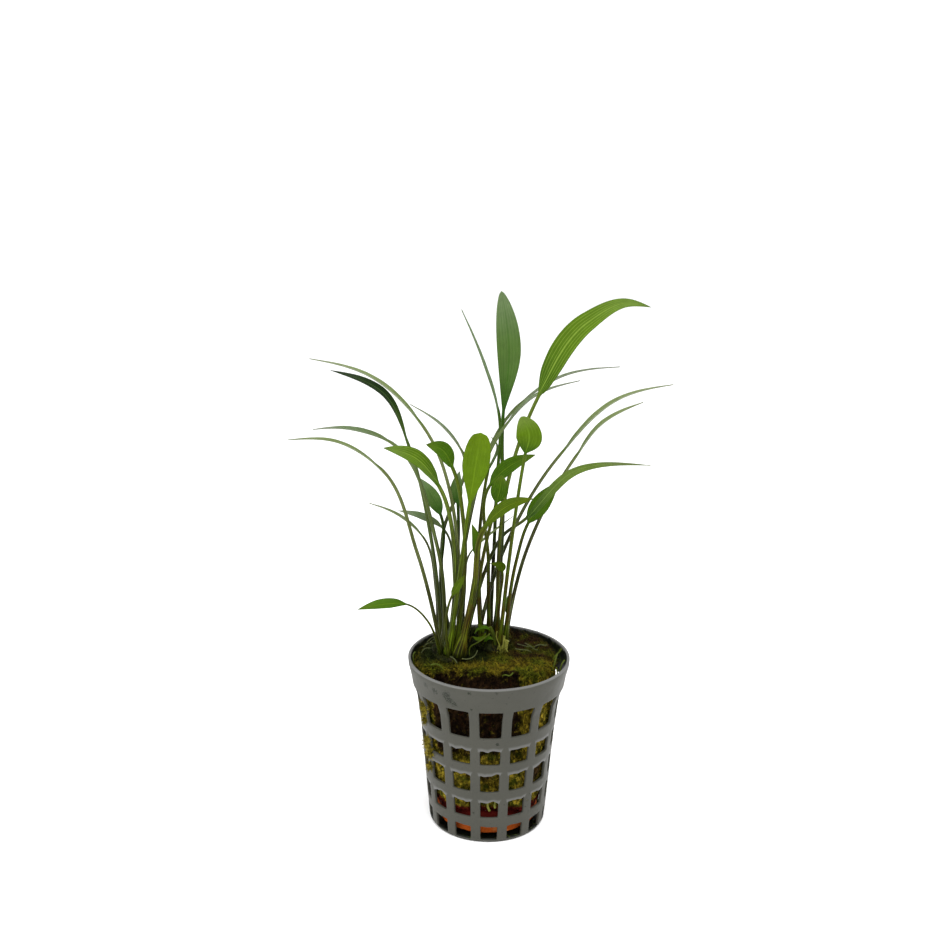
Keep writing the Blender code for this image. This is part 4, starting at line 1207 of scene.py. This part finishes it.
grow_runners(
    "loose_fibres", fibre_finish, "wool", 0.16,
    ((-13.2, -7, 58.6), (-12.2, -7, 60.0), (-9.7, -8, 60.1), (-7.0, -8, 59.7), (-4.5, -6, 60.2),
     (-3.6, -5, 61.8)),
    ((-8.4, -3.5, 60.0), (-8.2, -3.5, 61.8), (-8.0, -3.5, 63.6), (-7.0, -3.5, 64.8)),
    ((-13.8, -6.5, 58.6), (-13.2, -7, 60.0), (-11.0, -8.5, 59.8), (-10.2, -9.5, 58.9)),
    ((9.4, 6, 59.0), (11.2, 5, 58.9), (13.0, 5, 58.5), (14.4, 4.4, 58.7)),
    ((11.9, 7, 58.9), (13.7, 5, 58.7), (15.1, 3, 58.4), (16.0, 2.0, 58.7)),
    ((14.8, 5, 58.4), (16.9, 6, 58.8), (18.4, 6, 58.6), (19.4, 6.6, 58.4)),
    ((8.6, 3, 58.6), (10.4, 1.6, 58.9), (12.6, 1.8, 58.6), (14.0, 0.8, 58.4)),
    ((-19.5, 9, 57.8), (-18.0, 10.2, 58.6), (-16.2, 10.0, 58.8), (-15.0, 8.6, 58.6)),
    ((-21.5, 6, 57.6), (-20.2, 7.0, 58.4), (-18.6, 6.6, 58.8), (-17.0, 7.4, 58.6)),
    ((-22.0, 1.5, 57.4), (-20.8, 2.6, 58.6), (-19.0, 2.2, 58.9), (-18.2, 3.0, 58.6)),
    ((-18.8, 4.4, 58.4), (-17.6, 3.6, 59.2), (-16.8, 4.6, 59.6), (-17.4, 5.6, 59.0)),
    ((-20.6, 11.5, 56.8), (-19.0, 13.4, 57.6), (-17.2, 14.2, 57.9), (-15.8, 14.0, 57.6)),
)


def grow_seedling(name, look, width, faces, *route, collar=1):
    """A leaf too young to count, along a short route, whose blade begins at point collar."""
    curve = smooth_route([Vector(point) for point in route])
    leaf_along(name, (), looks[look], curve, collar * (CURVE_STEPS - 1), faces, width=width * MM,
               stalk=SEEDLING_STALK * MM, foot_flare=1.0)


grow_seedling(
    "seedling_crescent", "olive_green", 1.3, (0, -0.9, 0.6),
    (-6.4, -1, 62.5), (-5.4, -1, 64.4), (-4.0, -1.4, 63.9), (-2.4, -1.2, 64.0), (-1.0, -0.6, 65.8))
grow_seedling(
    "seedling_loop", "mid_green", 1.1, (0, -0.6, 0.8),
    (-1.2, 1.5, 60), (-0.6, 0.4, 63.5), (0.2, 0, 66.2), (-1.4, -0.4, 67.6), (-3.6, -0.6, 67.0),
    (-4.8, -0.8, 65.4), collar=2)
grow_seedling(
    "seedling_knob", "olive_green", 1.6, (0, -1, 0.3),
    (-1.4, 0.5, 62), (-1.8, 0, 65.5), (-2.6, -0.4, 67.6), (-3.8, -0.8, 68.8))
grow_seedling(
    "seedling_dark_tip", "mid_green", 1.6, (0, -1, 0),
    (5.2, 5, 66.5), (5.7, 5, 70.0), (5.6, 4.6, 73.4), (5.9, 4.6, 76.5))
grow_seedling(
    "seedling_left", "mid_green", 1.5, (0, -0.8, 0.6),
    (-2.8, 0.6, 59.5), (-1.6, -0.2, 62.4), (-0.2, -0.8, 64.2), (1.4, -1.0, 63.4))
